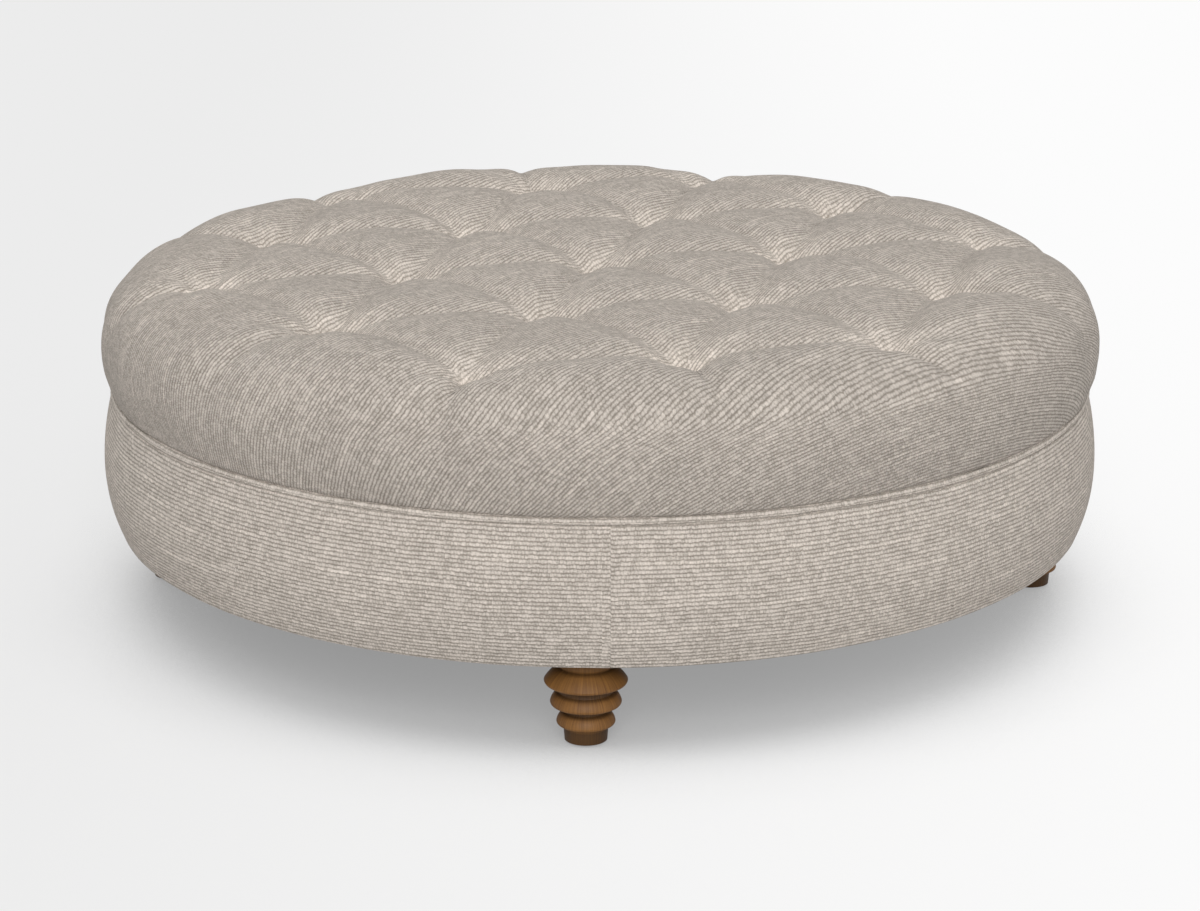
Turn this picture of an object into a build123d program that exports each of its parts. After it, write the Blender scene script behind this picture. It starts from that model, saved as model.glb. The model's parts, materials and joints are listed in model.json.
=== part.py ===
from build123d import *
import os
from math import atan2, cos, degrees, radians, sin, sqrt

# Round tufted ottoman coffee table on four turned legs, in millimetres.
# +Z is up, z = 0 is the floor, and the Z axis is the centre of the round top.
# The legs stand at 45, 135, 225 and 315 degrees, and the rows of tufts run along X.

# Clearances
layer_gap = 0.3            # between curved soft layers, and between a curved edge and its neighbour
screw_gap = 0.1            # round the shank of a screw, nail, bolt or staple
cut_overrun = 5.0          # how far a cutting tool runs past what it cuts

# Fabric and thin sheets
fabric_thickness = 1.6
dust_cover_thickness = 0.8

# Legs, turned with three beads, and what fixes them
leg_count = 4
leg_first_angle = 45.0
leg_circle_radius = 538.0
leg_length = 101.6
foot_radius = 23.7
foot_height = 17.0
foot_flare = 1.3
neck_radii = [24.5, 31.0, 29.5]        # above the first, second and third bead
neck_heights = [33.5, 56.5, 85.5]      # from the sole of the leg
cove_heights = [5.0, 7.0]              # of the hollows under the second and third bead
cove_depth = 1.2
cove_flare = 0.8
bead_radii = [32.7, 39.6, 46.3]
bead_heights = [21.7, 44.7, 69.8]
bead_rim_drop = 2.6
bead_rim_roll = 1.0
bead_upper_bulge = 1.5
collar_radius = 31.0
collar_height = 13.0
glide_height = 2.5
glide_radius = 17.0
glide_nail_radius = 1.1
glide_nail_length = 16.0
glide_nail_head_radius = 3.0
glide_nail_head_height = 1.2
bolt_radius = 3.9
bolt_grip_in_leg = 28.0
bolt_end_past_nut = 2.0
tee_nut_flange_radius = 11.0
tee_nut_flange_thickness = 1.6
tee_nut_barrel_radius = 5.0
tee_nut_barrel_length = 12.0
leg_block_length = 84.0
leg_block_width = 88.0
leg_block_thickness = 18.0

# Base frame
base_frame_height = 158.0
bottom_board_thickness = 15.0
top_ring_thickness = 15.0
top_ring_inner_radius = 500.0
hoop_outer_radius = 580.0
hoop_thickness = 4.0
hoop_panel_count = 4
hoop_panel_seam = 0.6
upright_count = 8
upright_first_angle = 22.5
upright_depth = 38.0
upright_width = 64.0
joist_thickness = 18.0

# Base band: padding and fabric over the hoop
band_bottom_radius = 593.0
band_bulge_radius = 610.0
band_bulge_height = 77.0               # above the underside of the fabric
band_shoulder_radius = 596.5
band_shoulder_drop = 4.1               # from the top of the band's fabric down to its shoulder
band_top_roll = 4.1                    # radial width of the roll over the top edge
band_turn_under = 105.0
band_top_flange_inner_radius = 540.0

# Piping between base and cushion
piping_radius = 5.6
piping_centre_radius = 593.4
welt_lip_thickness = 2.0
welt_lip_inner_radius = 555.0

# Cushion: deck, foam, wadding and cover
cushion_foot_out_share = 0.2           # of the piping's radius, as the next two
cushion_toe_rise_share = 0.65
cushion_foot_rise_share = 1.32
deck_radius = 575.0
deck_thickness = 15.0
cushion_radius = 607.6
cushion_belly_rise = 70.0              # from the underside of the deck to the widest level
cushion_shoulder_inset = 30.3
cushion_shoulder_rise = 126.0
cushion_crest_rise = 157.5
crown_height = 3.0
cushion_turn_under_radius = 520.0
wadding_thickness = 6.0
cushion_toe_gap = 0.6                  # between the cushion's toe and the piping

# Tufts, on a hexagonal grid
tuft_spacing = 250.0
tuft_rings = 2                         # rings of tufts round the middle one
tuft_depth = 37.0
tuft_seat_radius = 8.0
tuft_hollow_reach = 150.0
tuft_hollow_overshoot = 1.0
valley_depth = 8.0
valley_radius = 120.0
edge_channel_depth = 18.0
edge_channel_radius = 45.0
twine_radius = 1.2
twine_hole_radius = 1.5
stitch_radius = 5.0
stitch_height = 1.2
knot_radius = 3.0
knot_height = 3.0
deck_hole_radius = 3.0
tuft_washer_radius = 12.5
tuft_washer_thickness = 2.0

# Screws, nails and staples
screw_radius = 2.2
screw_head_radius = 4.5
screw_head_height = 3.0
frame_screw_length = 40.0
frame_screw_circle_radius = 556.0
joist_screw_pitch = 350.0
deck_screw_count = 8
deck_screw_first_angle = 10.0          # keeps the screws clear of the uprights and the outermost tufts
deck_screw_length = 27.0
deck_screw_circle_radius = 509.0
hoop_nail_count = 16
hoop_nail_radius = 1.1
hoop_nail_length = 20.0
staple_width = 10.0
staple_wire = 0.8
staple_leg = 8.0
band_staple_count = 24
band_staple_circle_radius = 512.0
dust_staple_count = 24
dust_staple_circle_radius = 570.0
deck_staple_count = 24
deck_staple_circle_radius = 532.0
dust_cover_radius = 580.0

# Levels, from the floor up
leg_top_z = glide_height + leg_length
dust_cover_top_z = leg_top_z + dust_cover_thickness
board_bottom_z = dust_cover_top_z + fabric_thickness
board_top_z = board_bottom_z + bottom_board_thickness
frame_top_z = board_bottom_z + base_frame_height
ring_bottom_z = frame_top_z - top_ring_thickness
band_top_z = frame_top_z + fabric_thickness
lip_top_z = band_top_z + welt_lip_thickness
piping_z = band_top_z + layer_gap + piping_radius
deck_bottom_z = lip_top_z + fabric_thickness
deck_top_z = deck_bottom_z + deck_thickness
crest_z = deck_bottom_z + cushion_crest_rise
tuft_seat_z = crest_z - tuft_depth
washer_bottom_z = deck_bottom_z - tuft_washer_thickness

# Radii that follow from the ones above
board_radius = hoop_outer_radius - hoop_thickness - layer_gap
cushion_toe_radius = piping_centre_radius - piping_radius - cushion_toe_gap
cushion_foot_radius = piping_centre_radius + cushion_foot_out_share * piping_radius
cushion_toe_z = piping_z + cushion_toe_rise_share * piping_radius
cushion_foot_z = piping_z + cushion_foot_rise_share * piping_radius


def around(count, first_angle=0.0):
    """Angles in degrees of things evenly spread round the Z axis."""
    return [first_angle + 360.0 * index / count for index in range(count)]


def turned(section):
    """Solid made by turning a section, drawn as radius and height, round the Z axis."""
    return revolve(Plane.XZ * section, Axis.Z)


def band_of(inner_radius, outer_radius, low_z, high_z):
    """Rectangular section between two radii and two levels."""
    corners = [(inner_radius, low_z), (outer_radius, low_z), (outer_radius, high_z), (inner_radius, high_z)]
    return make_face(Polyline(corners, close=True))


def rod(radius, low_z, high_z, x=0.0, y=0.0):
    """Upright cylinder between two levels."""
    return Pos(x, y, low_z) * extrude(Circle(radius), high_z - low_z)


def on_circle(radius, angle):
    """Plan position on a circle round the Z axis."""
    return (radius * cos(radians(angle)), radius * sin(radians(angle)))


def slab(length, width, low_z, high_z):
    """Upright box, centred on the Z axis."""
    return Pos(0, 0, low_z) * extrude(Rectangle(length, width), high_z - low_z)


def save(name, shape):
    export_step(Compound(label=name, children=shape.solids()), os.path.join("parts", name + ".step"))


# Legs

def leg_section():
    """Half outline of a leg: foot, three sharp-rimmed beads with hollow necks, and a collar at the top."""
    sole_z = glide_height
    below = (foot_radius + foot_flare, sole_z + foot_height)
    edges = [Line((0, sole_z), (foot_radius, sole_z)), Line((foot_radius, sole_z), below)]
    for number, (bead_radius, bead_z) in enumerate(zip(bead_radii, bead_heights)):
        rim = (bead_radius, sole_z + bead_z)
        rim_low = (rim[0] - bead_rim_roll, rim[1] - bead_rim_drop)
        neck = (neck_radii[number], sole_z + neck_heights[number])
        edges.append(Line(below, rim_low))
        edges.append(TangentArc([rim, rim_low], tangent=(0, -1)))
        edges.append(bowed(rim, neck, bead_upper_bulge))
        below = neck
        if number < len(cove_heights):
            below = (neck[0] + cove_flare, neck[1] + cove_heights[number])
            edges.append(bowed(neck, below, -cove_depth))
    collar_foot = (collar_radius, leg_top_z - collar_height)
    collar_top = (collar_radius, leg_top_z)
    edges.append(Line(below, collar_foot))
    edges.append(Line(collar_foot, collar_top))
    edges.append(Line(collar_top, (0, leg_top_z)))
    edges.append(Line((0, leg_top_z), (0, sole_z)))
    return make_face(edges)


def bowed(start, end, bow):
    """Arc from start up to end whose middle stands out from the axis by the bow, or in if that is negative."""
    run = (end[0] - start[0], end[1] - start[1])
    reach = sqrt(run[0] ** 2 + run[1] ** 2)
    middle = ((start[0] + end[0]) / 2 + bow * run[1] / reach,
              (start[1] + end[1]) / 2 - bow * run[0] / reach)
    return ThreePointArc(start, middle, end)


def leg():
    """A turned leg with its bolt hole from the top and its nail hole from the sole."""
    bolt_hole = rod(bolt_radius + screw_gap, leg_top_z - bolt_grip_in_leg, leg_top_z + cut_overrun)
    nail_top_z = glide_nail_length + glide_nail_head_height
    nail_hole = rod(glide_nail_radius + screw_gap, -cut_overrun, nail_top_z)
    return turned(leg_section()) - bolt_hole - nail_hole


def glide():
    """Floor glide: a plastic disc with a sunk seat for its nail's head."""
    seat = rod(glide_nail_head_radius + screw_gap, -cut_overrun, glide_nail_head_height)
    hole = rod(glide_nail_radius + screw_gap, -cut_overrun, glide_height + cut_overrun)
    return rod(glide_radius, 0, glide_height) - seat - hole


def glide_nail():
    """Nail of a glide, its head sunk halfway up into the disc."""
    head = rod(glide_nail_head_radius, glide_nail_head_height / 2, glide_nail_head_height)
    return head + rod(glide_nail_radius, glide_nail_head_height / 2, glide_nail_length)


def hanger_bolt():
    """Bolt from the leg up through the base into the tee nut."""
    nut_top_z = board_top_z + leg_block_thickness + tee_nut_flange_thickness
    return rod(bolt_radius, leg_top_z - bolt_grip_in_leg, nut_top_z + bolt_end_past_nut)


def tee_nut():
    """Flanged nut let down into the leg block."""
    block_top_z = board_top_z + leg_block_thickness
    flange = rod(tee_nut_flange_radius, block_top_z, block_top_z + tee_nut_flange_thickness)
    barrel = rod(tee_nut_barrel_radius, block_top_z - tee_nut_barrel_length, block_top_z)
    thread = rod(bolt_radius + screw_gap, board_bottom_z, block_top_z + tee_nut_flange_thickness + cut_overrun)
    return flange + barrel - thread


def leg_block():
    """Doubler over the bottom board at a leg, cut round at its outer end to follow the hoop."""
    block_top_z = board_top_z + leg_block_thickness
    plank = Pos(leg_circle_radius, 0, 0) * slab(leg_block_length, leg_block_width, board_top_z, block_top_z)
    block = plank & rod(board_radius, board_top_z, block_top_z)
    barrel_seat = rod(tee_nut_barrel_radius + screw_gap, block_top_z - tee_nut_barrel_length - screw_gap,
                      block_top_z + cut_overrun, leg_circle_radius)
    bolt_hole = rod(bolt_radius + screw_gap, board_bottom_z, block_top_z, leg_circle_radius)
    return block - barrel_seat - bolt_hole


# Screws, nails and staples

def screw(length):
    """Screw pointing up: its head stands on z = 0 and its end is at z = length."""
    return rod(screw_head_radius, 0, screw_head_height) + rod(screw_radius, 0, length)


def screw_hole(length):
    """Hole for the screw, open below its head."""
    head = rod(screw_head_radius + screw_gap, -cut_overrun, screw_head_height)
    return head + rod(screw_radius + screw_gap, 0, length)


def frame_screw_places():
    """Where the frame's screws go: into the uprights from below and above, and into the joists."""
    places = []
    for angle in around(upright_count, upright_first_angle):
        x, y = on_circle(frame_screw_circle_radius, angle)
        places.append(Pos(x, y, board_bottom_z))
        places.append(Pos(x, y, frame_top_z) * Rot(X=180))
    for side in (-1, 1):
        for step in (-1, 0, 1):
            places.append(Pos(step * joist_screw_pitch, side * joist_offset(), board_bottom_z))
    return places


def deck_screw_places():
    """Where screws go up through the top ring into the cushion's deck."""
    return [Pos(*on_circle(deck_screw_circle_radius, angle), ring_bottom_z)
            for angle in around(deck_screw_count, deck_screw_first_angle)]


def hoop_nail_places():
    """Nails through the hoop into the edges of the bottom board and the top ring, pointing inwards."""
    levels = [(board_bottom_z + board_top_z) / 2, (ring_bottom_z + frame_top_z) / 2]
    return [Rot(Z=angle) * Pos(hoop_outer_radius, 0, level) * Rot(Y=-90)
            for level in levels for angle in around(hoop_nail_count)]


def staple_places(count, radius, crown_z, skip_legs=False):
    """Staples on a circle, crown down, pressed upwards; those under a leg are left out."""
    leg_angles = around(leg_count, leg_first_angle)
    clear = degrees((collar_radius + staple_width) / radius)
    places = []
    for angle in around(count):
        under_leg = any(abs(angle - leg_angle) < clear for leg_angle in leg_angles)
        if not (skip_legs and under_leg):
            places.append(Rot(Z=angle) * Pos(radius, 0, crown_z))
    return places


def staple():
    """One staple: a crown of wire with two legs pointing up."""
    block = slab(staple_wire, staple_width, 0, staple_leg)
    return block - slab(staple_wire + cut_overrun, staple_width - 2 * staple_wire, staple_wire, staple_leg)


def staple_slot():
    """Room for a staple in the sheets that it holds."""
    return slab(staple_wire + 2 * screw_gap, staple_width + 2 * screw_gap, 0, staple_leg + screw_gap)


def band_staple_places():
    return staple_places(band_staple_count, band_staple_circle_radius, dust_cover_top_z, skip_legs=True)


def dust_staple_places():
    return staple_places(dust_staple_count, dust_staple_circle_radius, leg_top_z - staple_wire, skip_legs=True)


def deck_staple_places():
    return staple_places(deck_staple_count, deck_staple_circle_radius, lip_top_z)


def nail():
    """Plain nail of the hoop, pointing up its own axis."""
    return rod(hoop_nail_radius, 0, hoop_nail_length)


def nail_hole():
    return rod(hoop_nail_radius + screw_gap, -cut_overrun, hoop_nail_length + screw_gap)


def bolt_holes():
    """Holes for the four hanger bolts through the sheets under the leg blocks."""
    return [rod(bolt_radius + screw_gap, leg_top_z - cut_overrun, board_top_z + cut_overrun,
                *on_circle(leg_circle_radius, angle)) for angle in around(leg_count, leg_first_angle)]


def repeated(shape, places):
    """The same shape at each place, as separate solids."""
    return Compound(children=[copy for place in places for copy in (place * shape).solids()])


def cut_all(body, tools):
    """Body with a list of tools taken away in one cut."""
    return body.cut(*[solid for tool in tools for solid in tool.solids()])


# Base frame

def joist_offset():
    """Distance of a joist from the middle, between two rows of tufts."""
    return tuft_spacing * sqrt(3) / 4


def bottom_board():
    """Round plywood board that the legs and uprights stand on."""
    board = rod(board_radius, board_bottom_z, board_top_z)
    tools = [place * screw_hole(frame_screw_length) for place in frame_screw_places()]
    tools += [place * nail_hole() for place in hoop_nail_places()]
    tools += [place * staple_slot() for place in band_staple_places() + dust_staple_places()]
    return cut_all(board, tools + bolt_holes())


def top_ring():
    """Plywood ring over the uprights, with the screws of the frame, the deck and the hoop through it."""
    ring = turned(band_of(top_ring_inner_radius, board_radius, ring_bottom_z, frame_top_z))
    tools = [place * screw_hole(frame_screw_length) for place in frame_screw_places()]
    tools += [place * nail_hole() for place in hoop_nail_places()]
    tools += [place * rod(screw_radius + screw_gap, -cut_overrun, top_ring_thickness + cut_overrun)
              for place in deck_screw_places()]
    return cut_all(ring, tools)


def upright(angle):
    """Short post between the bottom board and the top ring, rounded outside to follow the hoop."""
    middle = board_radius - upright_depth / 2
    plank = Pos(middle, 0, 0) * slab(upright_depth, upright_width, board_top_z, ring_bottom_z)
    post = Rot(Z=angle) * (plank & rod(board_radius, board_top_z, ring_bottom_z))
    return cut_all(post, [place * screw_hole(frame_screw_length) for place in frame_screw_places()])


def joist(side):
    """Rail on edge across the base, under the deck, between two rows of tufts."""
    outer_y = joist_offset() + joist_thickness / 2
    half_length = sqrt(top_ring_inner_radius ** 2 - outer_y ** 2) - layer_gap
    rail = Pos(0, side * joist_offset(), 0) * slab(2 * half_length, joist_thickness, board_top_z, deck_bottom_z)
    return cut_all(rail, [place * screw_hole(frame_screw_length) for place in frame_screw_places()])


def hoop_panel(angle):
    """One bent panel of the hoop round the frame, its ends meeting the next panels over an upright."""
    panel_angle = 360.0 / hoop_panel_count - degrees(hoop_panel_seam / hoop_outer_radius)
    section = band_of(hoop_outer_radius - hoop_thickness, hoop_outer_radius, board_bottom_z, frame_top_z)
    panel = Rot(Z=angle) * revolve(Plane.XZ * section, Axis.Z, panel_angle)
    return cut_all(panel, [place * nail_hole() for place in hoop_nail_places()])


# Base band

def band_form(inset):
    """Section of the whole base as its band shows it, drawn in by the inset all round."""
    low_z = dust_cover_top_z
    bulge = (band_bulge_radius, low_z + band_bulge_height)
    foot = (band_bottom_radius, low_z)
    shoulder = (band_shoulder_radius, band_top_z - band_shoulder_drop)
    lower = TangentArc([bulge, foot], tangent=(0, -1))
    upper = TangentArc([bulge, shoulder], tangent=(0, 1))
    top = (band_shoulder_radius - band_top_roll, band_top_z)
    roll = TangentArc([shoulder, top], tangent=upper % 1)
    # Each point moves in along the normal of its arc, so the arcs keep their centres.
    foot_in = moved_in(foot, lower % 1, inset)
    shoulder_in = moved_in(shoulder, upper % 1, -inset)
    bulge_in = (bulge[0] - inset, bulge[1])
    foot_in = (foot_in[0], low_z + inset)
    top_in = moved_in(top, roll % 1, -inset)
    top_in = (top_in[0], band_top_z - inset)
    edges = [Line((0, low_z + inset), foot_in),
             TangentArc([bulge_in, foot_in], tangent=(0, -1)),
             TangentArc([bulge_in, shoulder_in], tangent=(0, 1)),
             Line(shoulder_in, top_in) if inset else roll,
             Line(top_in, (0, band_top_z - inset)),
             Line((0, band_top_z - inset), (0, low_z + inset))]
    return make_face(edges)


def moved_in(point, tangent, distance):
    """Point moved across a curve's direction, to its right for a positive distance."""
    return (point[0] + tangent.Y * distance, point[1] - tangent.X * distance)


def band_cover():
    """Fabric of the base: the band, turned in over the top edge and turned under the bottom board."""
    section = band_form(0) - band_form(fabric_thickness)
    section -= band_of(0, band_top_flange_inner_radius, frame_top_z, band_top_z)
    section -= band_of(0, band_bottom_radius - band_turn_under, dust_cover_top_z, board_bottom_z)
    slots = [place * staple_slot() for place in band_staple_places() + dust_staple_places()]
    return cut_all(turned(section), slots + bolt_holes())


def band_padding():
    """Foam strip between the hoop and the band's fabric, thickest halfway up."""
    form = band_form(fabric_thickness + layer_gap)
    core = band_of(0, hoop_outer_radius + layer_gap, dust_cover_top_z, band_top_z)
    return turned(form - core)


def dust_cover():
    """Thin cloth under the whole base, held by its own staples and clamped by the legs."""
    sheet = rod(dust_cover_radius, leg_top_z, dust_cover_top_z)
    return cut_all(sheet, [place * staple_slot() for place in dust_staple_places()] + bolt_holes())


# Piping

def piping_circle(radius):
    return Pos(piping_centre_radius, piping_z) * Circle(radius)


def welt_cover():
    """Fabric round the piping's cord, with the lip that is caught between base and cushion."""
    lip = band_of(welt_lip_inner_radius, piping_centre_radius, band_top_z, lip_top_z)
    return turned(lip + piping_circle(piping_radius) - piping_circle(piping_radius - fabric_thickness))


def welt_cord():
    return turned(piping_circle(piping_radius - fabric_thickness - layer_gap))


# Cushion

def tuft_places():
    """Plan positions of the tufts on their hexagonal grid, the middle one first."""
    row_pitch = tuft_spacing * sqrt(3) / 2
    places = []
    for row in range(-tuft_rings, tuft_rings + 1):
        count = 2 * tuft_rings + 1 - abs(row)
        for index in range(count):
            places.append(((index - (count - 1) / 2) * tuft_spacing, row * row_pitch))
    return sorted(places, key=lambda place: place[0] ** 2 + place[1] ** 2)


def edge_tufts():
    """The tufts of the outermost ring."""
    inner_count = 1 + 3 * tuft_rings * (tuft_rings - 1)
    return tuft_places()[inner_count:]


def cushion_profile(inset, low_z):
    """Half section of the cushion without its tufts, drawn in by the inset, flat at its lowest level."""
    belly = (cushion_radius, deck_bottom_z + cushion_belly_rise)
    foot = (cushion_foot_radius, cushion_foot_z)
    shoulder = (cushion_radius - cushion_shoulder_inset, deck_bottom_z + cushion_shoulder_rise)
    lower = TangentArc([belly, foot], tangent=(0, -1))
    upper = TangentArc([belly, shoulder], tangent=(0, 1))
    turn = upper % 1
    crest_bend = (crest_z - shoulder[1]) / (1 + turn.X)
    crest_radius = shoulder[0] - crest_bend * turn.Y
    foot_in = moved_in(foot, lower % 1, inset)
    shoulder_in = moved_in(shoulder, turn, -inset)
    belly_in = (belly[0] - inset, belly[1])
    crest_in = (crest_radius, crest_z - inset)
    top_in = (0, crest_z + crown_height - inset)
    toe_in = (cushion_toe_radius - inset, cushion_toe_z)
    edges = [TangentArc([belly_in, foot_in], tangent=(0, -1)),
             TangentArc([belly_in, shoulder_in], tangent=(0, 1)),
             TangentArc([shoulder_in, crest_in], tangent=turn),
             TangentArc([top_in, crest_in], tangent=(1, 0)),
             Line(foot_in, toe_in),
             Line(toe_in, (toe_in[0], lip_top_z)),
             Line((toe_in[0], lip_top_z), (0, lip_top_z)),
             Line((0, lip_top_z), top_in)]
    return make_face(edges) & band_of(0, cushion_radius, low_z, top_in[1])


def tuft_hollow():
    """Round hollow of one tuft: a flat seat, then a bulging flank that runs out into the crown."""
    rim = (tuft_hollow_reach, crest_z + crown_height + tuft_hollow_overshoot)
    seat_edge = (tuft_seat_radius, tuft_seat_z)
    high_z = rim[1] + cut_overrun
    edges = [Line((0, tuft_seat_z), seat_edge),
             TangentArc([rim, seat_edge], tangent=(-1, 0)),
             Line(rim, (rim[0], high_z)),
             Line((rim[0], high_z), (0, high_z)),
             Line((0, high_z), (0, tuft_seat_z))]
    return turned(make_face(edges))


def lying_roller(start, end, radius, low_z):
    """Horizontal cylinder over a stretch in plan, its lowest line at the level given."""
    run_x = end[0] - start[0]
    run_y = end[1] - start[1]
    length = sqrt(run_x ** 2 + run_y ** 2)
    heading = degrees(atan2(run_y, run_x))
    roller = Rot(Y=90) * extrude(Circle(radius), length)
    return Pos(start[0], start[1], low_z + radius) * Rot(Z=heading) * roller


def valleys():
    """Shallow troughs along each row of tufts, in the grid's three directions."""
    row_pitch = tuft_spacing * sqrt(3) / 2
    tools = []
    for heading in (0, 60, 120):
        for row in range(-tuft_rings, tuft_rings + 1):
            half_length = (2 * tuft_rings - abs(row)) * tuft_spacing / 2
            ends = [Vector(side * half_length, row * row_pitch).rotate(Axis.Z, heading) for side in (-1, 1)]
            tools.append(lying_roller((ends[0].X, ends[0].Y), (ends[1].X, ends[1].Y), valley_radius,
                                      crest_z - valley_depth))
    return tools


def edge_channels():
    """Channels from the outermost tufts straight out over the shoulder."""
    tools = []
    for x, y in edge_tufts():
        share = cushion_radius / sqrt(x ** 2 + y ** 2)
        tools.append(lying_roller((x, y), (x * share, y * share), edge_channel_radius,
                                  crest_z - edge_channel_depth))
    return tools


def tufted_block():
    """Wide round block with the tufts, valleys and edge channels in its top."""
    hollow = tuft_hollow()
    block = rod(cushion_radius + cut_overrun, 0, crest_z + crown_height + tuft_hollow_overshoot)
    for x, y in tuft_places():
        block -= Pos(x, y, 0) * hollow
    for tool in valleys() + edge_channels():
        block -= tool
    return block


def tufted_form(block, inset, low_z):
    """The cushion's crowned form with the block's tufts in its top, drawn in by the inset."""
    return turned(cushion_profile(inset, low_z)) & (Pos(0, 0, -inset) * block)


def twine_holes(radius, low_z):
    return [rod(radius, low_z, crest_z, x, y) for x, y in tuft_places()]


def cushion_cover(block):
    """One-piece cover over top and side, turned under the deck's edge."""
    low_z = lip_top_z
    outside = tufted_form(block, 0, low_z)
    inside = tufted_form(block, fabric_thickness, deck_bottom_z)
    opening = rod(cushion_turn_under_radius, low_z - cut_overrun, deck_bottom_z)
    slots = [place * staple_slot() for place in deck_staple_places()]
    return cut_all(outside, [inside, opening] + slots + twine_holes(twine_hole_radius, low_z))


def wadding(block):
    """Soft layer over the foam's top and side and down round the deck's edge."""
    outside = tufted_form(block, fabric_thickness + layer_gap, deck_bottom_z)
    inside = tufted_form(block, fabric_thickness + layer_gap + wadding_thickness, deck_top_z)
    deck_room = rod(deck_radius + layer_gap, deck_bottom_z - cut_overrun, deck_top_z)
    return cut_all(outside, [inside, deck_room] + twine_holes(twine_hole_radius, deck_bottom_z))


def foam_core(block):
    """Foam on the deck, tufted like the cover, with a hole for each twine."""
    form = tufted_form(block, fabric_thickness + 2 * layer_gap + wadding_thickness, deck_top_z)
    return cut_all(form, twine_holes(twine_hole_radius, deck_bottom_z))


def deck_board():
    """Round plywood deck with a hole under each tuft, pilot holes and staple slots from below."""
    board = rod(deck_radius, deck_bottom_z, deck_top_z)
    tools = twine_holes(deck_hole_radius, deck_bottom_z - cut_overrun)
    tools += [place * screw_hole(deck_screw_length) for place in deck_screw_places()]
    tools += [place * staple_slot() for place in deck_staple_places()]
    return cut_all(board, tools)


def tuft_tie():
    """Twine of one tuft: a stitch in the hollow, the twine down through the deck, and its knot."""
    stitch = rod(stitch_radius, tuft_seat_z, tuft_seat_z + stitch_height)
    twine = rod(twine_radius, washer_bottom_z, tuft_seat_z)
    knot = rod(knot_radius, washer_bottom_z - knot_height, washer_bottom_z)
    return stitch + twine + knot


def tuft_washer():
    """Washer under the deck that the twine is tied off against."""
    return (rod(tuft_washer_radius, washer_bottom_z, deck_bottom_z)
            - rod(twine_radius + screw_gap, washer_bottom_z - cut_overrun, deck_bottom_z + cut_overrun))


# The whole part, one file per piece or group of like fasteners

def build():
    os.makedirs("parts", exist_ok=True)
    leg_angles = around(leg_count, leg_first_angle)
    leg_places = [Pos(*on_circle(leg_circle_radius, angle), 0) for angle in leg_angles]
    for number, (angle, place) in enumerate(zip(leg_angles, leg_places), 1):
        save(f"leg_{number}", place * leg())
        save(f"glide_{number}", place * glide())
        save(f"leg_block_{number}", Rot(Z=angle) * leg_block())
    save("glide_nails", repeated(glide_nail(), leg_places))
    save("hanger_bolts", repeated(hanger_bolt(), leg_places))
    save("tee_nuts", repeated(tee_nut(), leg_places))

    save("bottom_board", bottom_board())
    save("top_ring", top_ring())
    for number, angle in enumerate(around(upright_count, upright_first_angle), 1):
        save(f"upright_{number}", upright(angle))
    for side, name in ((-1, "joist_right"), (1, "joist_left")):
        save(name, joist(side))
    for number, angle in enumerate(around(hoop_panel_count, upright_first_angle), 1):
        save(f"hoop_panel_{number}", hoop_panel(angle))
    save("frame_screws", repeated(screw(frame_screw_length), frame_screw_places()))
    save("hoop_nails", repeated(nail(), hoop_nail_places()))

    save("band_padding", band_padding())
    save("band_cover", band_cover())
    save("band_staples", repeated(staple(), band_staple_places()))
    save("dust_cover", dust_cover())
    save("dust_cover_staples", repeated(staple(), dust_staple_places()))
    save("welt_cover", welt_cover())
    save("welt_cord", welt_cord())

    save("deck_board", deck_board())
    deck_screw = Pos(0, 0, -screw_head_height) * screw(deck_screw_length + screw_head_height)
    save("deck_screws", repeated(deck_screw, deck_screw_places()))
    save("deck_staples", repeated(staple(), deck_staple_places()))
    block = tufted_block()
    save("foam_core", foam_core(block))
    save("wadding", wadding(block))
    save("cushion_cover", cushion_cover(block))
    tuft_spots = [Pos(x, y, 0) for x, y in tuft_places()]
    save("tuft_ties", repeated(tuft_tie(), tuft_spots))
    save("tuft_washers", repeated(tuft_washer(), tuft_spots))


build()
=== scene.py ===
import json
from math import asin, cos, pi, radians, sin, sqrt, tan, tau

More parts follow.
